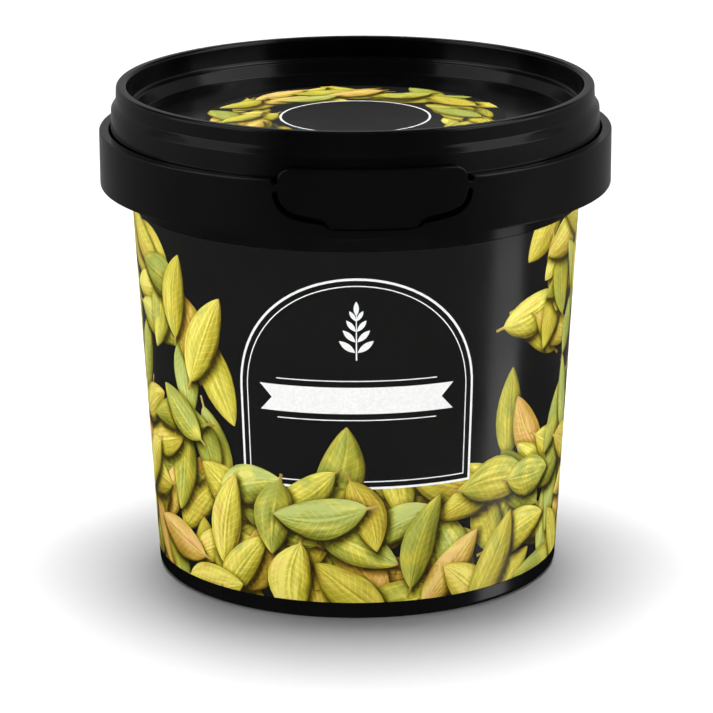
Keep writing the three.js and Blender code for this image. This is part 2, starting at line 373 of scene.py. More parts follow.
class Nodes:
    """A node tree, and short ways to add nodes to it."""

    def __init__(self, tree: bpy.types.NodeTree) -> None:
        """Empties the tree, to fill it anew."""
        self.tree = tree
        self.tree.nodes.clear()

    def add(self, kind: str, inputs: Mapping[int | str, Entry] | None = None) -> bpy.types.Node:
        """Adds a node.

        Args:
            kind: Its type.
            inputs: What some of its inputs get, by their number or name.

        Returns:
            The node.
        """
        node = self.tree.nodes.new("ShaderNode" + kind)
        self.feed(node, inputs or {})
        return node

    def feed(self, node: bpy.types.Node, inputs: Mapping[int | str, Entry]) -> None:
        """Links or sets a node's inputs.

        Args:
            node: The node.
            inputs: What the inputs get, by their number or name.
        """
        for place, entry in inputs.items():
            source = entry.socket if isinstance(entry, Value) else entry
            if isinstance(source, bpy.types.NodeSocket):
                self.tree.links.new(source, node.inputs[place])
            else:
                node.inputs[place].default_value = source

    def sum(self, kind: str, *entries: Entry) -> Value:
        """Adds a node of plain arithmetic.

        Args:
            kind: The operation.
            entries: What it takes.

        Returns:
            The result.
        """
        node = self.add("Math", dict(enumerate(entries)))
        node.operation = kind
        return Value(self, node.outputs[0])

    def mixed(self, share: Entry, first: Entry, second: Entry) -> Value:
        """Returns a number between two others."""
        return Value(self, self.add("Mix", {0: share, 2: first, 3: second}).outputs[0])

    def tint(self, share: Entry, first: Entry, second: Entry, kind: str = "MIX") -> Value:
        """Mixes two colours.

        Args:
            share: How much of the second one.
            first: The first colour.
            second: The second colour.
            kind: How they mix.

        Returns:
            The mixed colour.
        """
        colours = [(*colour, 1) if isinstance(colour, tuple) else colour for colour in (first, second)]
        node = self.tree.nodes.new("ShaderNodeMix")
        node.data_type = "RGBA"
        node.blend_type = kind
        self.feed(node, {0: share, 6: colours[0], 7: colours[1]})
        return Value(self, node.outputs[2])

    def split(self, source: Entry) -> tuple[Value, Value, Value]:
        """Returns the three numbers of a place, apart."""
        node = self.add("SeparateXYZ", {0: source})
        return tuple(Value(self, socket) for socket in node.outputs)

    def curve(self, value: Entry, stops: Sequence[Pair]) -> Value:
        """Leads a number from -1 to 1 along straight pieces between stops.

        Args:
            value: The number.
            stops: Numbers in rising order, each with what it becomes.

        Returns:
            What the number becomes.
        """
        share = self.add("MapRange", {0: value, 1: -1.0})
        ramp = self.add("FloatCurve", {"Value": share.outputs[0]})
        points = ramp.mapping.curves[0].points
        places = [((place + 1) / 2, height) for place, height in stops]
        points[0].location, points[1].location = places[0], places[-1]
        for place in places[1:-1]:
            points.new(*place)
        for point in points:
            point.handle_type = "VECTOR"
        ramp.mapping.update()
        return Value(self, ramp.outputs[0])


class Sheet(Nodes):
    """A material's node tree, with its shader and its output."""

    def __init__(self, name: str) -> None:
        """Starts a material.

        Args:
            name: Its name.
        """
        self.material = bpy.data.materials.new(name)
        self.material.use_nodes = True
        super().__init__(self.material.node_tree)
        self.surface = self.add("BsdfPrincipled")
        self.add("OutputMaterial", {"Surface": self.surface.outputs["BSDF"]})
        self.place = Value(self, self.add("TexCoord").outputs["Object"])

    def held(self, title: str) -> tuple[Value, Value, Value]:
        """Reads an attribute.

        Args:
            title: Its name.

        Returns:
            Its three numbers, apart.
        """
        source = self.add("Attribute")
        source.attribute_name = title
        return self.split(source.outputs["Vector"])

    def stretched(self, place: Entry, scale: Triple) -> Value:
        """Returns a place with each of its numbers scaled."""
        return Value(self, self.add("Mapping", {"Vector": place, "Scale": scale}).outputs[0])

    def mottle(self, place: Entry, scale: float, detail: float = 2.0, rough: float = 0.5) -> Value:
        """Returns a noise: how fine it is, how many finer layers it has and how strong those are."""
        inputs = {"Vector": place, "Scale": scale, "Detail": detail, "Roughness": rough}
        return Value(self, self.add("TexNoise", inputs).outputs["Fac"])

    def relief(self, height: Value, depth: float, under: Value | None = None) -> Value:
        """Adds a bump.

        Args:
            height: The height that it follows, from zero to one.
            depth: How deep that is, in metres.
            under: Another bump that it lies on.

        Returns:
            The bent normal.
        """
        node = self.add("Bump", {"Strength": 1.0, "Distance": depth, "Height": height})
        if under is not None:
            self.feed(node, {"Normal": under})
        return Value(self, node.outputs[0])

    def finished(self, inputs: Mapping[str, Entry]) -> bpy.types.Material:
        """Gives the shader its inputs and returns the material."""
        self.feed(self.surface, inputs)
        return self.material


@dataclass(frozen=True)
class MouldedPlastic:
    """Black polypropylene as it comes from the mould: flow marks, fine grain and light handling marks."""

    name: str
    dark: Triple = (0.0012, 0.0012, 0.0013)
    light: Triple = (0.0024, 0.0024, 0.0026)
    gloss_low: float = 0.15
    gloss_high: float = 0.21
    rubbing: float = 0.05
    ior: float = 1.5
    wave_depth: float = 0.000007
    grain_depth: float = 0.0000022

    def make(self) -> bpy.types.Material:
        """Builds the material.

        Returns:
            The material.
        """
        sheet = Sheet(self.name)
        flow = sheet.mottle(sheet.stretched(sheet.place, (1.0, 1.0, 0.35)), scale=60.0, detail=3.0, rough=0.6)
        cloud = sheet.mottle(sheet.place, scale=22.0)
        rubbed = sheet.stretched(sheet.place, (1.0, 1.0, 6.0))
        marks = sheet.mottle(rubbed, scale=190.0, detail=4.0, rough=0.65)
        gloss = cloud.spread(0.3, 0.7, self.gloss_low, self.gloss_high)
        wave = sheet.relief(sheet.mottle(sheet.place, scale=80.0, detail=1.0), self.wave_depth)
        grain = sheet.relief(sheet.mottle(sheet.place, scale=2600.0), self.grain_depth, wave)
        return sheet.finished({
            "Base Color": sheet.tint(flow.spread(0.3, 0.7), self.dark, self.light),
            "Roughness": gloss + marks.spread(0.56, 0.74) * self.rubbing,
            "IOR": self.ior,
            "Normal": grain,
        })


@dataclass(frozen=True)
class Varnish:
    """The varnish on a printed film: a faintly uneven gloss over a nearly flat face."""

    gloss: float
    ior: float = 1.5
    wave_depth: float = 0.000008
    grain_depth: float = 0.0000012

    def over(self, sheet: Sheet, colour: Value) -> bpy.types.Material:
        """Finishes a film's ink.

        Args:
            sheet: The ink's node tree.
            colour: The ink's colour.

        Returns:
            The material.
        """
        cloud = sheet.mottle(sheet.place, scale=34.0)
        wave = sheet.relief(sheet.mottle(sheet.place, scale=70.0, detail=1.0), self.wave_depth)
        grain = sheet.relief(sheet.mottle(sheet.place, scale=2200.0, detail=1.0), self.grain_depth, wave)
        return sheet.finished({
            "Base Color": colour,
            "Roughness": cloud.spread(0.3, 0.7, self.gloss - 0.04, self.gloss + 0.05),
            "IOR": self.ior,
            "Normal": grain,
        })


@dataclass(frozen=True)
class GroundInk:
    """The near-black ground of a printed film, under its satin varnish."""

    name: str
    dark: Triple = (0.0066, 0.0066, 0.0063)
    light: Triple = (0.0088, 0.0088, 0.0084)
    gloss: float = 0.22
    shine: float = 0.5

    def make(self) -> bpy.types.Material:
        """Builds the material.

        Returns:
            The material.
        """
        sheet = Sheet(self.name)
        dots = sheet.mottle(sheet.place, scale=1400.0, rough=0.7)
        blend = dots * 0.5 + sheet.mottle(sheet.place, scale=28.0) * 0.5
        sheet.feed(sheet.surface, {"Specular IOR Level": self.shine})
        return Varnish(self.gloss).over(sheet, sheet.tint(blend.spread(0.35, 0.65), self.dark, self.light))


@dataclass(frozen=True)
class LineInk:
    """The white of the thin lines, the sprig and the blank banner."""

    name: str
    dark: Triple = (0.82, 0.82, 0.81)
    light: Triple = (0.90, 0.90, 0.89)
    gloss: float = 0.30

    def make(self) -> bpy.types.Material:
        """Builds the material.

        Returns:
            The material.
        """
        sheet = Sheet(self.name)
        dots = sheet.mottle(sheet.place, scale=1600.0, rough=0.7)
        return Varnish(self.gloss).over(sheet, sheet.tint(dots.spread(0.35, 0.65), self.dark, self.light))


@dataclass(frozen=True)
class LeafInk:
    """The printed dried leaves: green to ochre, with a midrib, side veins, shading and dark gaps."""

    name: str
    lime: Triple = (0.72, 0.63, 0.076)
    green: Triple = (0.40, 0.44, 0.075)
    ochre: Triple = (0.66, 0.40, 0.09)
    tip: Triple = (0.42, 0.22, 0.05)
    gloss: float = 0.32
    veins: float = 6.0
    vein_slant: float = 2.1
    narrowest: float = 0.09
    blotting: float = 0.9
    lightness: float = 1.04
    streaking: float = 1.35
    vein_light: float = 0.16
    fold_dark: float = 0.20
    midrib_light: float = 0.36
    tilt_light: float = 0.52
    rim_dark: float = 0.50
    gap_dark: float = 0.94
    light_span: Pair = (0.03, 1.3)
    green_fall: float = 1.08
    blue_fall: float = 3.0

    def make(self) -> bpy.types.Material:
        """Builds the material from the values that the film keeps at its corners.

        Returns:
            The material.
        """
        sheet = Sheet(self.name)
        along, across, seed = sheet.held(FilmPrint.SPOT)
        bow, lean, shade = sheet.held(FilmPrint.FORM)
        tone, own_hue, _ = sheet.held(FilmPrint.TONE)
        open_part = (1.0 - along * along).done("MAXIMUM", 0.0)
        half = (open_part**Leaf.POINT).done("MAXIMUM", self.narrowest) * (along * -Leaf.BELLY + 1.0)
        off = (across - bow * open_part) / half
        grain = sheet.add("CombineXYZ", {0: along, 1: off, 2: seed}).outputs[0]
        streaks = sheet.mottle(sheet.stretched(grain, (0.9, 3.6, 9.0)), scale=1.7, detail=4.0, rough=0.6)
        blots = sheet.mottle(sheet.stretched(grain, (1.2, 0.7, 7.0)), scale=1.5)
        colour = self._colour(sheet, own_hue + (blots - 0.5) * self.blotting, abs(along))
        light = self._relief_light(along, off, streaks) + lean * off * self.tilt_light
        light = light - abs(off) ** 3.0 * self.rim_dark
        light = light * tone * (1.0 - shade * self.gap_dark)
        light = light.done("MAXIMUM", self.light_span[0]).done("MINIMUM", self.light_span[1])
        dye = sheet.add("CombineColor", {0: light, 1: light**self.green_fall, 2: light**self.blue_fall})
        return Varnish(self.gloss).over(sheet, sheet.tint(1.0, colour, dye.outputs[0], "MULTIPLY"))

    def _colour(self, sheet: Sheet, hue: Value, outwards: Value) -> Value:
        """Colours the leaves from green over lime to ochre, with brown ends.

        Args:
            sheet: The material's node tree.
            hue: The hue at each place, about zero to one.
            outwards: How far each place lies from the leaf's middle towards an end.

        Returns:
            The colour.
        """
        colour = sheet.tint(hue.spread(0.08, 0.45, 1.0, 0.0), self.lime, self.green)
        colour = sheet.tint(hue.spread(0.40, 1.0), colour, self.ochre)
        return sheet.tint(outwards.spread(0.86, 1.12, 0.0, 0.75), colour, self.tip)

    def _relief_light(self, along: Value, off: Value, streaks: Value) -> Value:
        """Lights the leaves by their streaks, side veins, the fold along the middle and the midrib in it.

        Args:
            along: The place along the leaf.
            off: The place across it, from -1 to 1.
            streaks: Long streaks along the leaf.

        Returns:
            The light.
        """
        side = abs(off)
        ribs = (along * self.veins - side * self.vein_slant).done("PINGPONG", 0.5)
        vein = ribs.spread(0.0, 0.16, 1.0, 0.0) * side.spread(0.75, 0.98, 1.0, 0.0)
        fold = side.spread(0.08, 0.26, 1.0, 0.0)
        midrib = side.spread(0.02, 0.10, 1.0, 0.0)
        light = (streaks - 0.5) * self.streaking + self.lightness
        return light + vein * self.vein_light - fold * self.fold_dark + midrib * self.midrib_light


@dataclass(frozen=True)
class FilmBack:
    """The unprinted side and cut edge of a film."""

    name: str

    def make(self) -> bpy.types.Material:
        """Builds the material.

        Returns:
            The material.
        """
        sheet = Sheet(self.name)
        cloud = sheet.mottle(sheet.place, scale=240.0, detail=3.0)
        return sheet.finished({
            "Base Color": sheet.tint(cloud, (0.010, 0.010, 0.010), (0.022, 0.022, 0.021)),
            "Roughness": cloud.spread(0.3, 0.7, 0.42, 0.55),
        })


@dataclass(frozen=True)
class FloorPaper:
    """The plain pale floor."""

    name: str

    def make(self) -> bpy.types.Material:
        """Builds the material.

        Returns:
            The material.
        """
        sheet = Sheet(self.name)
        cloud = sheet.mottle(sheet.place, scale=5.0)
        return sheet.finished({
            "Base Color": sheet.tint(cloud, (0.90, 0.90, 0.90), (0.93, 0.93, 0.93)),
            "Roughness": 0.9,
            "Specular IOR Level": 0.1,
        })


@dataclass(frozen=True)
class Wall:
    """The tub's cone, which widens upwards."""

    foot_radius: float = 46.9
    slope: float = 0.0557
    thickness: float = 1.2

    def outer(self, height: float) -> float:
        """Returns the outer radius at a height."""
        return self.foot_radius + self.slope * height

    def inner(self, height: float) -> float:
        """Returns the inner radius at a height."""
        return self.outer(height) - self.thickness


@dataclass(frozen=True)
class Film:
    """Thickness of the printed films, and the gaps round them in their recesses."""

    thickness: float = 0.25
    gap: float = 0.05
    edge_gap: float = 0.1

    @property
    def recess(self) -> float:
        """Returns how deep a film's recess is."""
        return self.thickness + self.gap


@dataclass(frozen=True)
class TamperRing:
    """The ring round the bottom of the lid, with its tear tab and the two slots beside it.

    The slots are traced by how far in from the tab's side, or from its neck, they lie, and how high.
    """

    radius: float = 59.0
    bottom: float = 91.5
    top: float = 104.2
    thickness: float = 2.2
    lip_edge: float = 0.4
    tab_edge: float = 0.35
    foot_edge: float = 0.3
    inner_edge: float = 0.2
    fine_edge: float = 0.12
    tab_centre: float = 3.95
    tab_half_width: float = 21.1
    tab_top: float = 106.7
    tab_corner: float = 2.4
    tab_neck: float = 9.9
    slot_width: float = 1.3
    slot_end_width: float = 0.7
    slot_taper_start: float = 0.75
    notch_width: float = 1.6
    notch_corner: float = 0.2
    bridge_top: float = 103.1
    bridge_bottom: float = 101.7
    bridge_corner: float = 0.6
    slot_bend: tuple[Pair, ...] = ((0.25, 99.8), (1.05, 98.5), (2.65, 97.1), (5.15, 96.25), (8.15, 95.75))
    slot_end: tuple[Pair, ...] = ((-1.3, 95.3), (0.0, 94.1), (1.1, 92.9))
    lip_fade: float = 3.0
    tab_fade: float = 1.4
    groove_height: float = 93.8
    groove_half_width: float = 0.36
    groove_depth: float = 0.5
    groove_fade: float = 1.5
    groove_clear: float = 0.7
    groove_rows: tuple[float, ...] = (-1, -0.66, -0.33, 0, 0.33, 0.66, 1)
    edge_clear: float = 0.55
    fine_clear: float = 0.2
    tab_zone: float = 26.0
    steps: int = 256
    edge_steps: int = 4
    face_rows: tuple[float, ...] = (93.4, 95.2, 97.0, 98.8, 100.6, 102.2)
    tab_rows: Pair = (103.8, 105.2)
    tab_columns: tuple[float, ...] = tuple(1.5 * j - 19 for j in range(26))

    @property
    def half_girth(self) -> float:
        """Returns half of the length round the outer face."""
        return math.pi * self.radius

    @property
    def column(self) -> float:
        """Returns the length of one step round the outer face."""
        return 2 * self.half_girth / self.steps

    @property
    def inner(self) -> float:
        """Returns the radius of the inner face."""
        return self.radius - self.thickness

    @property
    def groove_reach(self) -> float:
        """Returns how far the groove reaches on either side of the tab's middle."""
        return self.tab_neck - 0.2

    def _at(self, radius: float, along: float, height: float) -> Triple:
        """Returns the point at a distance along the outer face, at another radius."""
        return around(radius, along / self.radius, height)

    def _rounding(self, edge: RingEdge, station: Station, outer: bool) -> float:
        """Returns how far an edge is rounded at one of its points.

        Args:
            edge: Which edge it is.
            station: The point.
            outer: Whether it is on the outer side.

        Returns:
            The radius.
        """
        if edge is RingEdge.SLOT:
            return self.fine_edge
        if edge is RingEdge.FOOT:
            return self.foot_edge if outer else self.inner_edge
        away = abs(station.x - self.tab_centre) - self.tab_half_width
        if away > self.notch_width / 2:
            share, full = _clamped((away - self.notch_width) / self.lip_fade), self.lip_edge
        else:
            rise = station.y - self.top + self.notch_corner
            share, full = _clamped(rise / self.tab_fade), self.tab_edge
        radius = self.fine_edge + (full - self.fine_edge) * share * share * (3 - 2 * share)
        return radius if outer else min(radius, self.inner_edge)

    def _lip_outline(self) -> list[Station]:
        """Traces the ring's upper edge.

        Returns:
            The points from right to left, over the tab.
        """
        near, far = self.tab_half_width, self.tab_half_width + self.notch_width
        half = [
            (far, self.top, self.notch_corner),
            (far, self.bridge_top, self.bridge_corner),
            (near, self.bridge_top, self.bridge_corner),
            (near, self.tab_top, self.tab_corner),
        ]
        right = [(self.tab_centre + x, y, r) for x, y, r in half]
        left = [(self.tab_centre - x, y, r) for x, y, r in reversed(half)]
        return rounded((self.half_girth, self.top), *right, *left, (-self.half_girth, self.top))

    def _slot_outline(self, side: int) -> list[Station]:
        """Traces one slot, from under its bridge to the tab's neck.

        Args:
            side: -1 for the left slot, 1 for the right one.

        Returns:
            The points, with the material on the left of the way round.
        """
        half = self.tab_half_width + self.slot_width / 2
        start = [(half + 0.05, self.bridge_bottom + 0.7), (half, self.bridge_bottom - self.slot_width / 2)]
        bend = [(half - inset, height) for inset, height in self.slot_bend]
        end = [(self.tab_neck - inset, height) for inset, height in self.slot_end]
        middle = _smooth_chain(start + bend + end, 6)
        shares = [_clamped(k / (len(middle) - 1) - self.slot_taper_start) for k in range(len(middle))]
        narrowing = (self.slot_width - self.slot_end_width) / (1 - self.slot_taper_start)
        halves = [(self.slot_width - narrowing * share) / 2 for share in shares]
        return _around_chain([(self.tab_centre + side * u, z) for u, z in middle], halves)

    def draw_on(self, skin: Skin) -> None:
        """Adds the ring's closed faces to a skin.

        Args:
            skin: The skin.
        """
        foot = rounded((-self.half_girth, self.bottom), (self.half_girth, self.bottom))
        rows = [
            self._round_edge(skin, RingEdge.FOOT, divided(foot, self.column)),
            self._round_edge(skin, RingEdge.LIP, divided(self._lip_outline(), self.column)),
            self._round_edge(skin, RingEdge.SLOT, self._slot_outline(-1)),
            self._round_edge(skin, RingEdge.SLOT, self._slot_outline(1)),
        ]
        self._fill_face(skin, [inner for inner, _ in rows], outer=False)
        self._fill_face(skin, [outer for _, outer in rows], outer=True)

    def _edge_row(
        self, edge: RingEdge, chain: list[Station], outer: bool, share: float
    ) -> tuple[list[Pair], list[Placed]]:
        """Places one row of an edge's rounding.

        Args:
            edge: Which edge it is.
            chain: Its points, with the material on its left.
            outer: Whether the row is on the outer side.
            share: How far round the edge it lies, from the cut face at 0 to the ring's face at 1.

        Returns:
            The row flat, and in place with its normals.
        """
        cut, facing = math.cos(share * math.pi / 2), math.sin(share * math.pi / 2)
        flat, placed = [], []
        for station in chain:
            radius = self._rounding(edge, station, outer)
            inset, depth = radius * (1 - cut), radius * (1 - facing)
            u = station.x - station.after[0] * inset
            z = station.y - station.after[1] * inset
            turn = u / self.radius
            normal = np.array(around(facing if outer else -facing, turn, station.after[1] * cut))
            normal += station.after[0] * cut * np.array([math.cos(turn), math.sin(turn), 0.0])
            flat.append((u, z))
            reach = self.radius - depth if outer else self.inner + depth
            placed.append((self._at(reach, u, z), tuple(normal)))
        return flat, placed

    def _round_edge(self, skin: Skin, edge: RingEdge, chain: list[Station]) -> tuple[list[Pair], list[Pair]]:
        """Rounds both sides of an edge, and joins them straight through the ring.

        Args:
            skin: The skin that gets the faces.
            edge: Which edge it is.
            chain: Its points, with the material on its left.

        Returns:
            The rows where the inner and the outer face begin, flat.
        """
        shares = [k / self.edge_steps for k in range(self.edge_steps + 1)]
        levels = [(False, share) for share in reversed(shares)] + [(True, share) for share in shares]
        rows = [self._edge_row(edge, chain, outer, share) for outer, share in levels]
        for (_, low), (_, high) in zip(rows, rows[1:]):
            if edge is RingEdge.SLOT:
                low, high = low + low[:1], high + high[:1]
            skin.strip(low, high)
        return rows[0][0], rows[-1][0]

    def _fill_face(self, skin: Skin, chains: list[list[Pair]], outer: bool) -> None:
        """Fills the outer or the inner face between its edges.

        Args:
            skin: The skin that gets the faces.
            chains: The lower edge, the upper edge and the slots, flat.
            outer: Whether it is the outer face.
        """
        low, high, *slots = chains
        end, centre, reach = self.half_girth, self.tab_centre, self.groove_reach

        def by_groove(u: float, z: float) -> bool:
            """Returns whether a spot lies by the groove, which has finer spots of its own."""
            return abs(z - self.groove_height) <= self.groove_clear and abs(u - centre) <= reach

        right = [(end, z) for z in self.face_rows]
        left = [(-end, z) for z in reversed(self.face_rows)]
        inside = [(-end + self.column * j, z) for j in range(1, self.steps) for z in self.face_rows]
        fine: list[Pair] = []
        if outer:
            across = [self.groove_height + self.groove_half_width * t for t in self.groove_rows]
            fine = [(centre - reach + reach * j / 20, z) for j in range(41) for z in across]
            inside = [spot for spot in inside if not by_groove(*spot)]
        edge = [spot for slot in slots for spot in slot]
        edge = np.array(edge + [spot for spot in high if abs(spot[0] - centre) < self.tab_zone])

        def clear(spots: list[Pair], gap: float) -> list[Pair]:
            """Returns the spots that lie clear of the slots and the tab's edge."""
            return [spot for spot in spots if np.min(np.hypot(*(edge - spot).T)) > gap]

        tab = [(centre + u, z) for u in self.tab_columns for z in self.tab_rows]
        loops = [low + right + high + left] + [slot[::-1] for slot in slots]
        inside = clear(inside, self.edge_clear) + clear(fine, self.fine_clear) + tab
        spots, faces, owners = cut_flat(loops, inside)
        for face, owner in zip(faces, owners):
            if len(owner) == 1:
                skin.face([self._face_point(*spots[i], outer) for i in (face if outer else face[::-1])])

    def _face_point(self, along: float, height: float, outer: bool) -> Placed:
        """Places a point of the ring's outer or inner face, with the groove under the tab.

        Args:
            along: The distance along the outer face.
            height: The height.
            outer: Whether it is on the outer face.

        Returns:
            The point and its normal.
        """
        turn = along / self.radius
        if not outer:
            return self._at(self.inner, along, height), around(-1.0, turn, 0.0)
        t = (height - self.groove_height) / self.groove_half_width
        fade = _clamped((self.groove_reach - abs(along - self.tab_centre)) / self.groove_fade)
        if abs(t) >= 1 or fade <= 0:
            return self._at(self.radius, along, height), around(1.0, turn, 0.0)
        depth = self.groove_depth * fade * (1 + math.cos(math.pi * t)) / 2
        slope = self.groove_depth * fade * math.pi * math.sin(math.pi * t) / (2 * self.groove_half_width)
        size = math.hypot(1.0, slope)
        return self._at(self.radius - depth, along, height), around(1.0 / size, turn, -slope / size)


def _smooth_chain(knots: Sequence[Pair], pieces: int) -> list[Pair]:
    """Draws a smooth curve through all knots but the first and the last.

    Args:
        knots: The knots.
        pieces: How many pieces lie between two of them.

    Returns:
        The curve's points.
    """
    chain: list[Pair] = []
    spots = np.array(knots)
    for a, b, c, d in zip(spots, spots[1:], spots[2:], spots[3:]):
        for t in (k / pieces for k in range(pieces)):
            even = 2 * b + (2 * a - 5 * b + 4 * c - d) * t**2
            odd = (c - a) * t + (3 * b - a - 3 * c + d) * t**3
            chain.append(tuple((even + odd) / 2))
    return [*chain, tuple(spots[-2])]


def _around_chain(middle: Sequence[Pair], halves: Sequence[float]) -> list[Station]:
    """Traces a slot with round ends.

    Args:
        middle: The slot's centre line.
        halves: Half of its width at each point of that.

    Returns:
        The points clockwise, with the material on the left.
    """
    spots = [np.array(spot) for spot in middle]
    ways = [_unit(b - a) for a, b in zip(spots, spots[1:])]
    tangents = [_unit(a + b) for a, b in zip(ways[:1] + ways, ways + ways[-1:])]
    lefts = [(-way[1], way[0]) for way in tangents]
    rights = [(way[1], -way[0]) for way in tangents]
    far = [_turned_by(lefts[-1], -math.pi * k / 6) for k in range(1, 6)]
    near = [_turned_by(rights[0], -math.pi * k / 6) for k in range(1, 6)]
    traced = [*zip(spots, lefts, halves)]
    traced += [(spots[-1], out, halves[-1]) for out in far]
    traced += [*zip(spots, rights, halves)][::-1]
    traced += [(spots[0], out, halves[0]) for out in near]
    stations = []
    for spot, out, half in traced:
        x, y = (float(number) for number in spot + np.array(out) * half)
        facing = (-float(out[0]), -float(out[1]))
        stations.append(Station(x, y, facing, facing))
    return stations


@dataclass(frozen=True)
class Tub:
    """The tub: wall, foot, flange, neck and tamper ring in one moulding."""

    wall: Wall = Wall()
    film: Film = Film()
    ring: TamperRing = TamperRing()
    label_bottom: float = 4.1
    label_top: float = 87.0
    foot_rounding: float = 1.4
    foot_inner: float = 42.2
    underside: float = 1.5
    gate_radius: float = 1.5
    gate_depth: float = 0.4
    mark_inner: float = 20.0
    mark_outer: float = 21.4
    mark_depth: float = 0.3
    floor_top: float = 2.8
    flange_bottom: float = 99.2
    flange_top: float = 100.4
    neck_outer: float = 54.2
    neck_inner: float = 52.9
    neck_top: float = 108.6
    bead_bottom: float = 107.1
    bead_top: float = 107.8
    bead_depth: float = 0.75
    relief: float = 1.2
    steps: int = 256

    @property
    def flange_radius(self) -> float:
        """Returns the flange's radius, just inside the ring."""
        return self.ring.inner + 0.3

    def _outline(self) -> list[Station]:
        """Traces the turned body without the ring.

        Returns:
            The outline, from the base's middle up the outside and down the inside.
        """
        low = self.label_bottom - self.film.edge_gap
        high = self.label_top + self.film.edge_gap
        outer, inner, sunk = self.wall.outer, self.wall.inner, self.film.recess
        under, mark, ledge = self.underside, self.underside + self.mark_depth, 0.8
        return rounded(
            (0.0, under - self.gate_depth),
            (self.gate_radius - 0.2, under - self.gate_depth, 0.2),
            (self.gate_radius, under, 0.1),
            (self.mark_inner, under, 0.2),
            (self.mark_inner + 0.4, mark, 0.15),
            (self.mark_outer - 0.4, mark, 0.15),
            (self.mark_outer, under, 0.2),
            (self.foot_inner - 0.8, under, 0.5),
            (self.foot_inner, 0.0, 0.35),
            (outer(0.0), 0.0, self.foot_rounding),
            (outer(low), low, 0.05),
            (outer(low) - sunk, low, 0.03),
            (outer(high) - sunk, high, 0.03),
            (outer(high), high, 0.05),
            (outer(self.flange_bottom), self.flange_bottom, 0.8),
            (self.flange_radius, self.flange_bottom),
            (self.flange_radius, self.flange_top),
            (self.neck_outer, self.flange_top, 0.5),
            (self.neck_outer, self.bead_bottom - self.bead_depth, 0.3),
            (self.neck_outer + self.bead_depth, self.bead_bottom, 0.25),
            (self.neck_outer + self.bead_depth, self.bead_top, 0.25),
            (self.neck_outer, self.neck_top, 0.3),
            (self.neck_inner, self.neck_top, 0.5),
            (self.neck_inner, self.flange_top + ledge, 1.2),
            (inner(self.flange_top - ledge), self.flange_top - ledge, 1.2),
            (inner(self.floor_top), self.floor_top, 3.0),
            (0.0, self.floor_top),
        )

    def _reach(self, radius: float, angle: float) -> float:
        """Cuts the flange back behind the tab.

        Args:
            radius: A radius of the body.
            angle: The angle from the front.

        Returns:
            The radius at that angle.
        """
        if abs(radius - self.flange_radius) > 1e-6:
            return radius
        wrapped = (angle + math.pi) % (2 * math.pi) - math.pi
        away = abs(wrapped * self.ring.radius - self.ring.tab_centre)
        behind_tab = away < self.ring.tab_half_width + self.ring.notch_width
        return self.ring.inner - self.relief if behind_tab else radius

    def build(self, finish: MouldedPlastic) -> bpy.types.Object:
        """Makes the tub and dresses it.

        Args:
            finish: Its plastic.

        Returns:
            The tub.
        """
        skin = turned_skin(self._outline(), self.steps, self._reach)
        self.ring.draw_on(skin)
        return put_in_place("tub_moulding", skin, [finish.make()], "tub", Slot.TUB)


@dataclass(frozen=True)
class Lid:
    """The lid: skirt, shoulder, raised rim, and a stepped recess down to a flat panel."""

    film: Film = Film()
    skirt_radius: float = 56.5
    skirt_top_radius: float = 56.15
    skirt_inner: float = 55.35
    skirt_bottom: float = 101.5
    bead_depth: float = 0.65
    bead_bottom: float = 105.2
    bead_top: float = 105.9
    shoulder_bottom: float = 109.0
    shoulder_top: float = 110.1
    shoulder_radius: float = 55.4
    rim_radius: float = 54.95
    rim_inner: float = 52.45
    rim_top: float = 114.4
    rim_rounding: float = 0.8
    hollow_inner: float = 53.4
    hollow_outer: float = 54.0
    hollow_top: float = 113.2
    step_outer: float = 52.35
    step_inner: float = 51.15
    step_height: float = 109.0
    panel_radius: float = 49.7
    panel_top: float = 106.0
    panel_thickness: float = 1.2
    disc_radius: float = 34.5
    steps: int = 256

    def _outline(self) -> list[Station]:
        """Traces the lid.

        Returns:
            The outline, from the panel's underside round the skirt and over the rim to its upper side.
        """
        skirt, bead = self.skirt_inner, self.skirt_inner - self.bead_depth
        under = self.panel_top - self.panel_thickness
        sunk = self.panel_top - self.film.recess
        disc = self.disc_radius + self.film.edge_gap
        return rounded(
            (0.0, under),
            (self.panel_radius + 1.0, under, 0.4),
            (self.panel_radius + 1.6, under + 0.5, 0.4),
            (self.step_outer + 0.15, self.step_height - 1.1, 0.6),
            (self.hollow_inner, self.step_height + 0.2, 0.4),
            (self.hollow_inner, self.hollow_top, 0.25),
            (self.hollow_outer, self.hollow_top, 0.25),
            (self.hollow_outer, self.shoulder_top + 0.1, 0.4),
            (skirt, self.shoulder_bottom - 0.3, 0.4),
            (skirt, self.bead_top + self.bead_depth, 0.2),
            (bead, self.bead_top, 0.25),
            (bead, self.bead_bottom, 0.25),
            (skirt, self.bead_bottom - self.bead_depth, 0.2),
            (skirt, self.skirt_bottom, 0.12),
            (self.skirt_radius, self.skirt_bottom, 0.3),
            (self.skirt_top_radius, self.shoulder_bottom, 0.35),
            (self.shoulder_radius, self.shoulder_top, 0.55),
            (self.rim_radius + 0.12, self.shoulder_top + 0.55, 0.5),
            (self.rim_radius, self.rim_top, self.rim_rounding),
            (self.rim_inner, self.rim_top, self.rim_rounding),
            (self.step_outer, self.step_height, 0.9),
            (self.step_inner, self.step_height - 0.12, 0.45),
            (self.panel_radius + 0.25, self.panel_top, 0.5),
            (disc, self.panel_top, 0.05),
            (disc, sunk, 0.03),
            (0.0, sunk),
        )

    def build(self, finish: MouldedPlastic) -> bpy.types.Object:
        """Makes the lid, dresses it in its plastic and returns it."""
        skin = turned_skin(self._outline(), self.steps)
        return put_in_place("lid_moulding", skin, [finish.make()], "lid", Slot.LID)


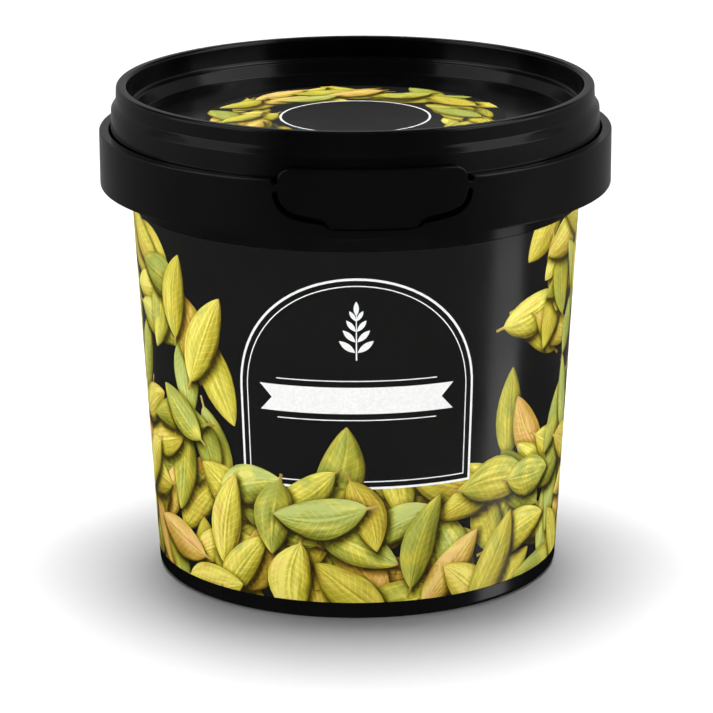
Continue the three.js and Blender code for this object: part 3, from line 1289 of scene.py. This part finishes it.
@dataclass(frozen=True)
class Leaf:
    """One printed leaf, laid flat: its middle, turn, half sizes, bow and looks."""

    POINT = 0.80
    BELLY = 0.16
    STALK = 1.2
    STALK_START = -0.93
    STALK_HALF = 0.075

    x: float
    y: float
    turn: float
    reach: float
    girth: float
    bow: float
    tone: float
    hue: float
    seed: float

    def half_width(self, u: np.ndarray) -> np.ndarray:
        """Returns half of the leaf's width at places along it, as a share of its girth."""
        blade = np.clip(1 - u * u, 0, 1) ** self.POINT * (1 - self.BELLY * u)
        return np.where(u < self.STALK_START, np.maximum(blade, self.STALK_HALF), blade)

    def border(self) -> list[Pair]:
        """Traces the leaf with its stalk.

        Returns:
            The outline, counter-clockwise.
        """
        u = np.concatenate([[-self.STALK], -np.cos(np.linspace(0.16, math.pi, 13))])
        middle = self.bow * np.clip(1 - u * u, 0, 1)
        half = self.half_width(u)
        lower = np.stack([u, middle - half], 1)
        upper = np.stack([u, middle + half], 1)[-2::-1]
        return _laid(np.concatenate([lower, upper]), self.x, self.y, self.turn, self.reach, self.girth)

    def local(self, spots: np.ndarray) -> np.ndarray:
        """Finds where places on the film lie on the leaf.

        Args:
            spots: The places on the film.

        Returns:
            The places as shares of the leaf's half sizes.
        """
        c, s = math.cos(self.turn), math.sin(self.turn)
        dx, dy = spots[..., 0] - self.x, spots[..., 1] - self.y
        return np.stack([(dx * c + dy * s) / self.reach, (dy * c - dx * s) / self.girth], -1)

    def gap_to(self, spots: np.ndarray) -> np.ndarray:
        """Finds about how far places on the film lie outside the leaf.

        Args:
            spots: The places on the film.

        Returns:
            The gaps in millimetres.
        """
        place = self.local(spots)
        u, v = place[..., 0], place[..., 1]
        inner = np.clip(u, -1, 1)
        across = np.abs(v - self.bow * (1 - inner * inner)) - self.half_width(inner)
        beyond = np.maximum(np.abs(u) - 1, 0) * self.reach
        return np.hypot(np.maximum(across, 0) * self.girth, beyond)


def _laid(spots: np.ndarray, x: float, y: float, turn: float, reach: float, girth: float) -> list[Pair]:
    """Lays a small shape on a film.

    Args:
        spots: Its points, as shares of its half sizes.
        x: Where its middle lies along the film.
        y: Where its middle lies up the film.
        turn: How far it is turned.
        reach: Its half length.
        girth: Its half width.

    Returns:
        Its points on the film.
    """
    c, s = math.cos(turn), math.sin(turn)
    u, v = spots[:, 0] * reach, spots[:, 1] * girth
    return [tuple(spot) for spot in np.stack([x + u * c - v * s, y + u * s + v * c], 1)]


def _lens(x: float, y: float, turn: float, reach: float, girth: float) -> list[Pair]:
    """Traces a small pointed oval.

    Args:
        x: Where its middle lies along the film.
        y: Where its middle lies up the film.
        turn: How far it is turned.
        reach: Its half length.
        girth: Its half width.

    Returns:
        Its points, counter-clockwise.
    """
    u = -np.cos(np.linspace(0, math.pi, 9))
    lower = np.stack([u, u * u - 1], 1)
    upper = np.stack([u, 1 - u * u], 1)[-2:0:-1]
    return _laid(np.concatenate([lower, upper]), x, y, turn, reach, girth)


@dataclass(frozen=True)
class Motif:
    """One flat shape of a print: its border, its ink, and the leaf that it is, if it is one."""

    border: list[Pair]
    ink: Ink
    leaf: Leaf | None = None


@dataclass(frozen=True)
class LeafKind:
    """The spans that a kind of leaf's looks are drawn from."""

    turn: Pair = (0, 2 * math.pi)
    reach: Pair = (8.6, 12.2)
    girth: Pair = (3.9, 5.5)
    bow: Pair = (-0.45, 0.45)
    tone: Pair = (0.74, 1.2)
    hues: tuple[Pair, ...] = ((0.05, 0.3), (0.35, 0.6), (0.75, 1.0))
    hue_chances: Triple = (0.3, 0.58, 0.12)
    seed: Pair = (0, 40)

    def drawn(self, rng: np.random.Generator, x: float, y: float, heading: float = 0.0) -> Motif:
        """Draws a leaf by chance.

        Args:
            rng: The chances.
            x: Where its middle lies along the film.
            y: Where its middle lies up the film.
            heading: What its turn is measured from.

        Returns:
            The leaf's shape.
        """
        spans = (self.turn, self.reach, self.girth, self.bow, self.tone)
        turn, *looks = (rng.uniform(*span) for span in spans)
        hue = rng.choice([rng.uniform(*span) for span in self.hues], p=self.hue_chances)
        seed = rng.uniform(*self.seed)
        leaf = Leaf(*(float(number) for number in (x, y, heading + turn, *looks, hue, seed)))
        return Motif(leaf.border(), Ink.LEAF, leaf)


@dataclass
class FilmPrint:
    """Lays a print's motifs on a flat film, with the later ones on top."""

    SPOT = "leaf_spot"
    FORM = "leaf_form"
    TONE = "leaf_tone"
    MAP = "OFBake"

    border: list[Pair]
    grid: list[Pair]
    motifs: list[Motif]
    shadow_reach: float = 1.9
    shadow_shift: Pair = (-0.55, 0.75)
    shadow_fall: float = 1.3
    light_way: Pair = (0.8, 0.6)

    def cut(self) -> tuple[np.ndarray, np.ndarray, np.ndarray]:
        """Returns the film's flat points, its triangles, and each one's top motif, or -1 where it is bare."""
        spots, faces, owners = cut_flat([self.border, *(motif.border for motif in self.motifs)], self.grid)
        return np.array(spots), np.array(faces), np.array([max(owner) - 1 for owner in owners])

    def shadows(self, corners: np.ndarray, tops: np.ndarray) -> np.ndarray:
        """Finds how dark each corner is under the leaves that lie above it.

        Args:
            corners: The flat corners of each triangle.
            tops: Each triangle's top motif.

        Returns:
            A value from zero to one for each corner.
        """
        dark = np.zeros(corners.shape[:2])
        middle = corners.mean(1)
        lit = corners + np.array(self.shadow_shift)
        for i, motif in enumerate(self.motifs):
            leaf = motif.leaf
            if leaf is None:
                continue
            away = np.hypot(middle[:, 0] - leaf.x, middle[:, 1] - leaf.y)
            near = (away < leaf.reach * 1.25 + 3) & (tops < i)
            if near.any():
                share = np.clip(1 - leaf.gap_to(lit[near]) / self.shadow_reach, 0, 1)
                dark[near] = np.maximum(dark[near], share**self.shadow_fall)
        return dark

    def corner_values(self, corners: np.ndarray, tops: np.ndarray) -> dict[str, np.ndarray]:
        """Finds what the leaf ink needs at every corner.

        Args:
            corners: The flat corners of each triangle.
            tops: Each triangle's top motif.

        Returns:
            The values by their attribute's name.
        """
        values = {title: np.zeros((*corners.shape[:2], 3)) for title in (self.SPOT, self.FORM, self.TONE)}
        dark = self.shadows(corners, tops)
        for i, motif in enumerate(self.motifs):
            leaf = motif.leaf
            mine = tops == i
            if leaf is None or not mine.any():
                continue
            lean = self.light_way[1] * math.sin(leaf.turn) + self.light_way[0] * math.cos(leaf.turn)
            values[self.SPOT][mine, :, :2] = leaf.local(corners[mine])
            values[self.SPOT][mine, :, 2] = leaf.seed
            values[self.FORM][mine, :, :2] = (leaf.bow, lean)
            values[self.FORM][mine, :, 2] = dark[mine]
            values[self.TONE][mine] = (leaf.tone, leaf.hue, 0.0)
        return values


@dataclass(frozen=True)
class LabelArt:
    """The label's own artwork: a bed of dried leaves, loose leaves above it, and a blank arched panel."""

    width: float
    low: float
    seed: int = 11
    leaves: LeafKind = LeafKind()
    bed_height: float = 38.0
    bed_cell: Pair = (8.4, 6.8)
    bed_rows: int = 12
    bed_ragged: float = 9.0
    loose_cell: Pair = (8.2, 8.0)
    loose_rows: int = 8
    loose_low: float = 20.0
    arch_clear: float = 3.0
    arch_half: float = 27.0
    arch_low: float = 31.5
    arch_high: float = 81.0
    arch_lines: tuple[tuple[float, Ink], ...] = (
        (0.0, Ink.LINE),
        (0.55, Ink.GROUND),
        (1.7, Ink.LINE),
        (1.95, Ink.GROUND),
    )

    def _bed_top(self, x: float) -> float:
        """Returns how high the bed of leaves reaches at a place along the label."""
        t = 2 * math.pi * x / self.width
        return self.low + self.bed_height + 5.0 * math.cos(2 * t + 2.4) + 3.0 * math.sin(5 * t + 0.6)

    def _cells(
        self, rng: np.random.Generator, cell: Pair, rows: int, low: float, jitter: Pair
    ) -> Iterator[Pair]:
        """Draws a place in each cell of a grid, one at a time.

        Args:
            rng: The chances.
            cell: About how wide and how high a cell is.
            rows: How many rows of cells there are.
            low: How high the lowest row starts.
            jitter: The span of a cell's width that the places lie in.

        Returns:
            The places, as they are drawn.
        """
        columns = round(self.width / cell[0])
        for i in range(columns):
            for j in range(rows):
                x = (i + rng.uniform(*jitter)) * self.width / columns - self.width / 2
                yield x, low + (j + rng.uniform(0.0, 1.0)) * cell[1]

    def _bed(self, rng: np.random.Generator) -> list[Motif]:
        """Lays the bed, whose top is ragged.

        Args:
            rng: The chances.

        Returns:
            Its leaves, in a chance order.
        """
        motifs = []
        for x, y in self._cells(rng, self.bed_cell, self.bed_rows, self.low - 1, (0.0, 1.0)):
            if y < self._bed_top(x) - rng.uniform(0, self.bed_ragged):
                motifs.append(self.leaves.drawn(rng, x, y))
        return [motifs[k] for k in rng.permutation(len(motifs))]

    def _loose(self, rng: np.random.Generator) -> list[Motif]:
        """Lays the leaves that lie apart above the bed, thicker away from the arch.

        Args:
            rng: The chances.

        Returns:
            The leaves.
        """
        motifs = []
        low = self.low + self.loose_low
        for x, y in self._cells(rng, self.loose_cell, self.loose_rows, low, (0.1, 0.9)):
            beside = _clamped((abs(x) - self.arch_half - self.arch_clear) / 10)
            band = 0.5 + 0.5 * math.cos(2 * math.pi * (y - self.low) / 74.0 + 5.2 * x / 50)
            if y > self._bed_top(x) and rng.uniform() < beside * (0.18 + 0.72 * band):
                motifs.append(self.leaves.drawn(rng, x, y))
        return motifs

    def _arch(self, inset: float) -> list[Pair]:
        """Traces the arched panel's border.

        Args:
            inset: How far it is drawn in.

        Returns:
            The points, counter-clockwise.
        """
        half = self.arch_half - inset
        spring = self.arch_high - self.arch_half
        low = self.arch_low + inset
        angles = [math.pi * k / 40 for k in range(41)]
        base = [(-half + half * k / 10, low) for k in range(21)]
        return base + [(half * math.cos(angle), spring + half * math.sin(angle)) for angle in angles]

    def _sprig(self, x: float, y: float, size: float) -> list[Motif]:
        """Returns a small white sprig of nine plain leaves on a stem.

        Args:
            x: The middle of its stem along the label.
            y: The foot of its stem.
            size: Its height.

        Returns:
            Its shapes.
        """
        tip = y + size * 0.8
        motifs = [Motif([(x - 0.16, y), (x + 0.16, y), (x + 0.1, tip), (x - 0.1, tip)], Ink.LINE)]
        for k in range(4):
            for side in (-1, 1):
                turn = math.pi / 2 - side * math.radians(52 - 7 * k)
                reach = size * (0.17 - 0.022 * k)
                foot = y + size * (0.12 + 0.19 * k)
                middle = (x + math.cos(turn) * reach * 1.15, foot + math.sin(turn) * reach * 1.15)
                motifs.append(Motif(_lens(*middle, turn, reach, reach * 0.34), Ink.LINE))
        return motifs + [Motif(_lens(x, y + size * 0.92, math.pi / 2, size * 0.13, size * 0.045), Ink.LINE)]

    def _banner(self, y: float, half: float, tall: float) -> list[Motif]:
        """Returns a blank white banner with notched ends, between two thin rules.

        Args:
            y: Its middle's height.
            half: Half of its width.
            tall: Half of its height.

        Returns:
            Its shapes.
        """

        def across(half: float, level: float, pieces: int) -> list[Pair]:
            """Returns points from left to right at a height."""
            return [(-half + 2 * half * k / pieces, level) for k in range(pieces + 1)]

        notch = half - tall * 0.9
        ribbon = across(half, y - tall, 24) + [(notch, y)] + across(half, y + tall, 24)[::-1] + [(-notch, y)]
        borders = [ribbon]
        for level in (y - tall - 1.5, y + tall + 1.5):
            borders.append(across(half - 4, level - 0.12, 20) + across(half - 4, level + 0.12, 20)[::-1])
        return [Motif(border, Ink.LINE) for border in borders]

    def motifs(self) -> list[Motif]:
        """Lays out the whole label, from the bottom layer to the top one.

        Returns:
            Its shapes.
        """
        rng = np.random.default_rng(self.seed)
        bed = self._bed(rng)
        loose = self._loose(rng)
        arch = [Motif(self._arch(inset), ink) for inset, ink in self.arch_lines]
        over = [motif for motif in bed[1::2] if not self._in_panel(motif.leaf)]
        return loose + bed[::2] + arch + self._sprig(0.0, 62.0, 13.0) + self._banner(52.5, 22.0, 3.1) + over

    def _in_panel(self, leaf: Leaf) -> bool:
        """Returns whether a leaf would lie over the part of the panel that is kept clear."""
        return abs(leaf.x) < self.arch_half + self.arch_clear and leaf.y > self.arch_low + 6


@dataclass(frozen=True)
class FilmInks:
    """The finishes of one film, whose names start alike."""

    start: str
    gloss: float = 0.22
    shine: float = 0.5

    def make(self) -> list[bpy.types.Material]:
        """Builds the materials.

        Returns:
            The materials, in the order of the inks.
        """
        ground = GroundInk(f"{self.start}_ground", gloss=self.gloss, shine=self.shine)
        leaf, line = LeafInk(f"{self.start}_leaf"), LineInk(f"{self.start}_line")
        return [finish.make() for finish in (ground, leaf, line, FilmBack(f"{self.start}_back"))]


@dataclass(frozen=True)
class Label:
    """A printed film. Each kind of label says where its flat points lie, in place and on the map."""

    film: Film = Film()
    map_edge: float = 0.35

    def _place(self, x: float, y: float, depth: float) -> Placed:
        """Returns where a flat point lies, at a depth below the face, and its outward normal."""
        raise NotImplementedError

    def _unwrap(self, x: float, y: float, part: MapPart) -> Pair:
        """Returns a flat point's place on the map."""
        raise NotImplementedError

    def _skin(self, flat_print: FilmPrint, back_grid: list[Pair]) -> Skin:
        """Makes the closed film from its flat print.

        Args:
            flat_print: The print.
            back_grid: Flat points that divide the back.

        Returns:
            The skin.
        """
        spots, faces, tops = flat_print.cut()
        corners = spots[faces]
        values = flat_print.corner_values(corners, tops)
        skin = Skin(prints={title: [] for title in (*values, FilmPrint.MAP)})
        placed = [self._place(x, y, 0.0) for x, y in spots]
        for n, face in enumerate(faces):
            ink = flat_print.motifs[tops[n]].ink if tops[n] >= 0 else Ink.GROUND
            skin.face([placed[i] for i in face], ink)
            self._note(skin, corners[n], {title: values[title][n].tolist() for title in values})
        self._cut_edge(skin, flat_print.border)
        deep = self.film.thickness
        spots, faces, _ = cut_flat([flat_print.border], back_grid)
        for face in faces:
            backs = [self._place(*spots[i], deep) for i in face[::-1]]
            skin.face([(point, tuple(-np.array(normal))) for point, normal in backs], Ink.BACK)
            self._note(skin, [spots[i] for i in face[::-1]], {}, MapPart.BACK)
        return skin

    def _cut_edge(self, skin: Skin, border: list[Pair]) -> None:
        """Closes the film round its border.

        Args:
            skin: The skin that gets the faces.
            border: The film's border, counter-clockwise.
        """
        for a, b in zip(border, border[1:] + border[:1]):
            (top_a, facing), (top_b, _) = self._place(*a, 0.0), self._place(*b, 0.0)
            low_a, low_b = self._place(*a, self.film.thickness)[0], self._place(*b, self.film.thickness)[0]
            out = tuple(_unit(np.cross(np.subtract(top_b, top_a), facing)))
            skin.face([(point, out) for point in (low_a, low_b, top_b, top_a)], Ink.BACK)
            way = _unit(np.subtract(b, a)) * self.map_edge
            outer = [(x + way[1], y - way[0]) for x, y in (a, b)]
            self._note(skin, [*outer, b, a], {})

    def _note(
        self, skin: Skin, flats: Sequence[Pair], values: dict[str, list[Triple]], part: MapPart | None = None
    ) -> None:
        """Notes the print's values and the place on the map at each corner of the last face.

        Args:
            skin: The skin.
            flats: The face's flat corners.
            values: The print's values there, or none away from the print.
            part: The part of the map that it lies on, where that isn't told by its place.
        """
        middle = sum(x for x, _ in flats) / len(flats)
        part = part or (MapPart.LEFT if middle < 0 else MapPart.RIGHT)
        skin.prints[FilmPrint.MAP] += [(*self._unwrap(x, y, part), 0.0) for x, y in flats]
        for title in (FilmPrint.SPOT, FilmPrint.FORM, FilmPrint.TONE):
            skin.prints[title] += values.get(title, [(0.0, 0.0, 0.0)] * len(flats))


@dataclass(frozen=True)
class WrapLabel(Label):
    """The printed film round the tub's wall, with its seam at the back."""

    tub: Tub = Tub()
    seam: float = 1.2
    step: float = 1.0
    map_scale: float = 1 / 178.0
    back_rows: Triple = (25.0, 46.0, 66.0)

    @property
    def roll(self) -> float:
        """Returns the radius that the flat label is measured on."""
        return self.tub.wall.outer((self.tub.label_bottom + self.tub.label_top) / 2)

    @property
    def width(self) -> float:
        """Returns the flat label's width."""
        return 2 * math.pi * self.roll - self.seam

    def _place(self, x: float, y: float, depth: float) -> Placed:
        """Rolls a flat point onto the wall.

        Args:
            x: Where it lies along the label.
            y: How high it lies.
            depth: How deep it lies below the face.

        Returns:
            The point and its normal.
        """
        angle, wall = x / self.roll, self.tub.wall
        size = math.hypot(1.0, wall.slope)
        normal = around(1.0 / size, angle, -wall.slope / size)
        return around(wall.outer(y) - depth, angle, y), normal

    def _unwrap(self, x: float, y: float, part: MapPart) -> Pair:
        """Lays a flat point on the map: the face's halves one above the other, and the back beside them.

        Args:
            x: Where it lies along the label.
            y: How high it lies.
            part: The part of the map that it lies on.

        Returns:
            Its place on the map.
        """
        rise = y - self.tub.label_bottom
        if part is MapPart.BACK:
            return (0.905 + rise / 1000, 0.01 + (x + self.width / 2) * 0.0031)
        if part is MapPart.RIGHT:
            return (0.005 + x * self.map_scale, 0.505 + rise * self.map_scale)
        return (0.005 + (x + self.width / 2) * self.map_scale, 0.012 + rise * self.map_scale)

    def build(self, inks: FilmInks) -> bpy.types.Object:
        """Makes the label and dresses it.

        Args:
            inks: Its finishes.

        Returns:
            The label.
        """
        low, high, half = self.tub.label_bottom, self.tub.label_top, self.width / 2
        columns, rows = round(self.width / self.step), round((high - low) / self.step)
        xs = [-half + self.width * i / columns for i in range(columns + 1)]
        ys = [low + (high - low) * j / rows for j in range(rows + 1)]
        border = [(x, low) for x in xs[:-1]] + [(half, y) for y in ys[:-1]]
        border += [(x, high) for x in reversed(xs[1:])] + [(-half, y) for y in reversed(ys[1:])]
        grid = [(x, y) for x in (*xs[1:-1], 0.0) for y in ys[1:-1]]
        back = [(x, y) for x in xs[2:-2:3] for y in self.back_rows]
        skin = self._skin(FilmPrint(border, grid, LabelArt(self.width, low).motifs()), back)
        label = put_in_place("wrap_label_film", skin, inks.make(), "wrap_label", Slot.WRAP)
        # The pale floor takes no tint from the print.
        label.visible_diffuse = False
        return label


@dataclass(frozen=True)
class LidLabel(Label):
    """The round printed film on the lid's panel."""

    lid: Lid = Lid()
    ring_radius: float = 17.5
    ring_width: float = 0.55
    step: float = 0.9
    seed: int = 5
    leaf_count: int = 96
    rounds: int = 7
    leaves: LeafKind = LeafKind((-0.9, 0.9), (6.0, 8.2), (2.5, 3.4), (-0.1, 0.5), (0.75, 1.12))

    def _place(self, x: float, y: float, depth: float) -> Placed:
        """Returns where a flat point lies on the panel, and its normal."""
        return (x, y, self.lid.panel_top - depth), (0.0, 0.0, 1.0)

    def _unwrap(self, x: float, y: float, part: MapPart) -> Pair:
        """Returns a flat point's place on the map, with the back small in one corner."""
        centre, scale = (0.055, 0.0013) if part is MapPart.BACK else (0.52, 0.0134)
        return (centre + x * scale, centre + y * scale)

    def _circle(self, radius: float, count: int) -> list[Pair]:
        """Returns a circle's points, counter-clockwise."""
        angles = [2 * math.pi * k / count for k in range(count)]
        return [(radius * math.cos(angle), radius * math.sin(angle)) for angle in angles]

    def _wreath(self) -> list[Motif]:
        """Lays a wreath round the label's plain middle.

        Returns:
            Its leaves.
        """
        rng = np.random.default_rng(self.seed)
        motifs = []
        for k in range(self.leaf_count):
            angle = 2 * math.pi * (k + rng.uniform(-0.4, 0.4)) / self.leaf_count * self.rounds
            radius = rng.uniform(self.ring_radius + 4.5, self.lid.disc_radius - 3)
            x, y = radius * math.cos(angle), radius * math.sin(angle)
            motifs.append(self.leaves.drawn(rng, x, y, angle + math.pi / 2))
        return motifs

    def build(self, inks: FilmInks) -> bpy.types.Object:
        """Makes the label and dresses it.

        Args:
            inks: Its finishes.

        Returns:
            The label.
        """
        radius = self.lid.disc_radius
        count = int(radius / self.step)
        steps = [k * self.step for k in range(-count, count + 1)]
        grid = [(x, y) for x in steps for y in steps if math.hypot(x, y) < radius - 0.6]
        rings = [
            Motif(self._circle(self.ring_radius, 120), Ink.LINE),
            Motif(self._circle(self.ring_radius - self.ring_width, 120), Ink.GROUND),
        ]
        flat_print = FilmPrint(self._circle(radius, 216), grid, self._wreath() + rings)
        skin = self._skin(flat_print, self._circle(10.0, 24) + self._circle(22.0, 24))
        label = put_in_place("lid_label_film", skin, inks.make(), "lid_label", Slot.DISC)
        # The rim's inner wall stays plain black, without the print's mirror image.
        label.visible_glossy = False
        return label


def put_in_place(
    name: str, skin: Skin, materials: list[bpy.types.Material], node: str, slot: Slot
) -> bpy.types.Object:
    """Puts a dressed piece in the scene in the place of its solid.

    Args:
        name: The piece's name.
        skin: Its faces.
        materials: Its materials, in the order of the faces' inks.
        node: The solid that it stands for.
        slot: The piece's material slot; not used.

    Returns:
        The piece.
    """
    mesh = skin.mesh(name)
    for material in materials:
        mesh.materials.append(material)
    piece = shown(name, mesh)
    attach(piece, BODY)
    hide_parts(node)
    log.info("%s: %d faces, for %s", name, len(mesh.polygons), node)
    return piece


def shown(name: str, data: bpy.types.ID) -> bpy.types.Object:
    """Puts a mesh, a lamp or a camera in the scene.

    Args:
        name: The object's name.
        data: What it holds.

    Returns:
        The object.
    """
    piece = bpy.data.objects.new(name, data)
    bpy.context.scene.collection.objects.link(piece)
    return piece


@dataclass(frozen=True)
class Softbox:
    """A flat lamp: where it stands, where it points, its size and how bright its face is."""

    name: str
    spot: Triple
    aim: Triple
    width: float
    height: float
    brightness: float
    mirrored: bool = True

    def build(self) -> bpy.types.Object:
        """Puts the lamp in the scene: a mirrored one only shows in gloss, and the others only light.

        Returns:
            The lamp.
        """
        lamp = bpy.data.lights.new(self.name, "AREA")
        lamp.shape = "RECTANGLE"
        lamp.size, lamp.size_y = self.width, self.height
        lamp.energy = self.brightness * math.pi * self.width * self.height
        piece = shown(self.name, lamp)
        way = Vector(self.aim) - Vector(self.spot)
        piece.matrix_world = Matrix.Translation(self.spot) @ way.to_track_quat("-Z", "Y").to_matrix().to_4x4()
        piece.visible_glossy = self.mirrored
        piece.visible_diffuse = not self.mirrored
        piece.visible_camera = False
        return piece


@dataclass(frozen=True)
class Camera:
    """The camera: how it looks at the tub, in degrees and millimetres."""

    rise: float = 16.093
    distance: float = 841.76
    aim_height: float = 48.4
    lens: float = 180.9
    sensor_width: float = 36.0
    roll: float = -0.289

    def build(self) -> bpy.types.Object:
        """Puts the camera in the scene.

        Returns:
            The camera.
        """
        rise, roll = math.radians(self.rise), math.radians(self.roll)
        ahead = Vector((0.0, math.cos(rise), -math.sin(rise)))
        right = Vector((1.0, 0.0, 0.0))
        up = right.cross(ahead)
        tilted_right = right * math.cos(roll) + up * math.sin(roll)
        tilted_up = up * math.cos(roll) - right * math.sin(roll)
        frame_axes = Matrix((tilted_right, tilted_up, -ahead)).transposed().to_4x4()
        data = bpy.data.cameras.new("camera")
        data.lens = self.lens
        data.sensor_width = self.sensor_width
        data.clip_start, data.clip_end = 0.01, 50.0
        piece = shown("camera", data)
        spot = Vector((0.0, 0.0, self.aim_height * MM)) - ahead * self.distance * MM
        piece.matrix_world = Matrix.Translation(spot) @ frame_axes
        bpy.context.scene.camera = piece
        return piece


@dataclass(frozen=True)
class Studio:
    """The floor, the soft light and the surroundings that the plastic mirrors."""

    floor_radius: float = 4.0
    floor_height: float = -0.02
    low_stops: tuple[Pair, ...] = (
        (-1.0, 0.06),
        (-0.5, 0.085),
        (0.0, 0.125),
        (0.6, 0.155),
        (0.8, 0.18),
        (0.92, 0.23),
        (1.0, 0.30),
    )
    level_stops: tuple[Pair, ...] = (
        (-1.0, 0.0),
        (-0.8, 0.01),
        (-0.6, 0.23),
        (0.0, 0.30),
        (0.7, 0.22),
        (1.0, 0.31),
    )
    under_stops: tuple[Pair, ...] = ((-1.0, 0.08), (0.0, 0.06), (0.5, 0.02), (1.0, 0.0))
    top_glow: float = 0.03
    matt_glow: float = 0.06

    def _floor(self) -> bpy.types.Object:
        """Lays the floor.

        Returns:
            The floor.
        """
        up = (0.0, 0.0, 1.0)
        rim = [around(self.floor_radius / MM, 2 * math.pi * k / 64, self.floor_height) for k in range(64)]
        skin = Skin()
        for a, b in zip(rim, rim[1:] + rim[:1]):
            skin.face([((0.0, 0.0, self.floor_height), up), (a, up), (b, up)])
        mesh = skin.mesh("studio_floor")
        mesh.materials.append(FloorPaper("floor_paper").make())
        floor = shown("studio_floor", mesh)
        floor.visible_glossy = False
        floor.visible_shadow = False
        floor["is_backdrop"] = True
        return floor

    def _surroundings(self) -> None:
        """Sets what surrounds the floor: white to the eye, and to the gloss pale behind and dark in front."""
        world = bpy.data.worlds.new("studio_surround")
        world.use_nodes = True
        nodes = Nodes(world.node_tree)
        _, back, rise = nodes.split(nodes.add("TexCoord").outputs["Generated"])
        bands = (self.low_stops, self.level_stops, self.under_stops)
        low, level, under = (nodes.curve(back, stops) for stops in bands)
        glow = nodes.mixed(rise.spread(-0.20, -0.14), low, level)
        glow = nodes.mixed(rise.spread(-0.34, -0.26), under, glow)
        glow = nodes.mixed(rise.spread(0.30, 0.55), glow, self.top_glow)
        path = nodes.add("LightPath")
        strength = nodes.mixed(path.outputs["Is Glossy Ray"], self.matt_glow, glow)
        strength = nodes.mixed(path.outputs["Is Camera Ray"], strength, 1.0)
        shade = nodes.add("Background", {"Strength": strength})
        nodes.add("OutputWorld", {"Surface": shade.outputs[0]})
        bpy.context.scene.world = world

    def lamps(self) -> list[Softbox]:
        """Lists the lamps: the washes light, and the others are only mirrored.

        Returns:
            The lamps.
        """
        foot, lid = (0.0, 0.0, 0.06), (0.0, 0.0, 0.1)
        lamps = [
            Softbox("wash_top", (0.0, 0.12, 1.30), (0.0, 0.12, 0.0), 0.7, 0.6, 15.5, mirrored=False),
            Softbox("wash_back", (0.0, 1.10, 1.0), (0.0, 0.3, 0.0), 0.8, 0.5, 4.0, mirrored=False),
            Softbox("wash_right", (1.22, -0.78, 0.14), foot, 1.2, 0.24, 14.5, mirrored=False),
            Softbox("wash_left", (-1.27, -0.70, 0.14), foot, 1.2, 0.24, 15.5, mirrored=False),
            Softbox("high_right", (0.58, 0.17, 1.10), lid, 0.42, 0.42, 1.8),
            Softbox("high_left", (-0.58, 0.16, 1.10), lid, 0.46, 0.42, 1.1),
            Softbox("strip_right", (0.62, -0.07, -0.25), (0.0, 0.0, 0.0), 0.22, 0.27, 1.35),
        ]
        for way, name, side, fore, rear in ((1, "right", 0.72, 0.9, 0.20), (-1, "left", 0.44, 0.35, 0.20)):
            for place, y, z, width, height, brightness in (
                ("side", -0.36, 0.62, 0.92, 1.1, side),
                ("fore", -0.26, 1.34, 0.36, 0.34, fore),
                ("rear", 0.36, 0.78, 0.48, 0.30, rear),
            ):
                spot = (0.95 * way, y, z)
                lamps.append(Softbox(f"{place}_{name}", spot, (0.0, y, z), width, height, brightness))
        return lamps

    def build(self) -> None:
        """Sets the whole studio up."""
        self._floor()
        self._surroundings()
        for lamp in self.lamps():
            lamp.build()
        bpy.context.scene.view_settings.view_transform = "Standard"
        Camera().build()


def main() -> None:
    """Builds every piece in order."""
    logging.basicConfig(level=logging.INFO, format="%(name)s: %(message)s")
    Studio().build()
    Tub().build(MouldedPlastic("tub_black_plastic"))
    Lid().build(MouldedPlastic("lid_black_plastic", gloss_low=0.13, gloss_high=0.18))
    WrapLabel().build(FilmInks("wrap"))
    LidLabel().build(FilmInks("disc", gloss=0.34, shine=0.33))
    boxes = {"solids": solid_box, "looks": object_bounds()}
    {name: [list(corner) for corner in box] for name, box in boxes.items()}


if __name__ == "__main__":
    main()
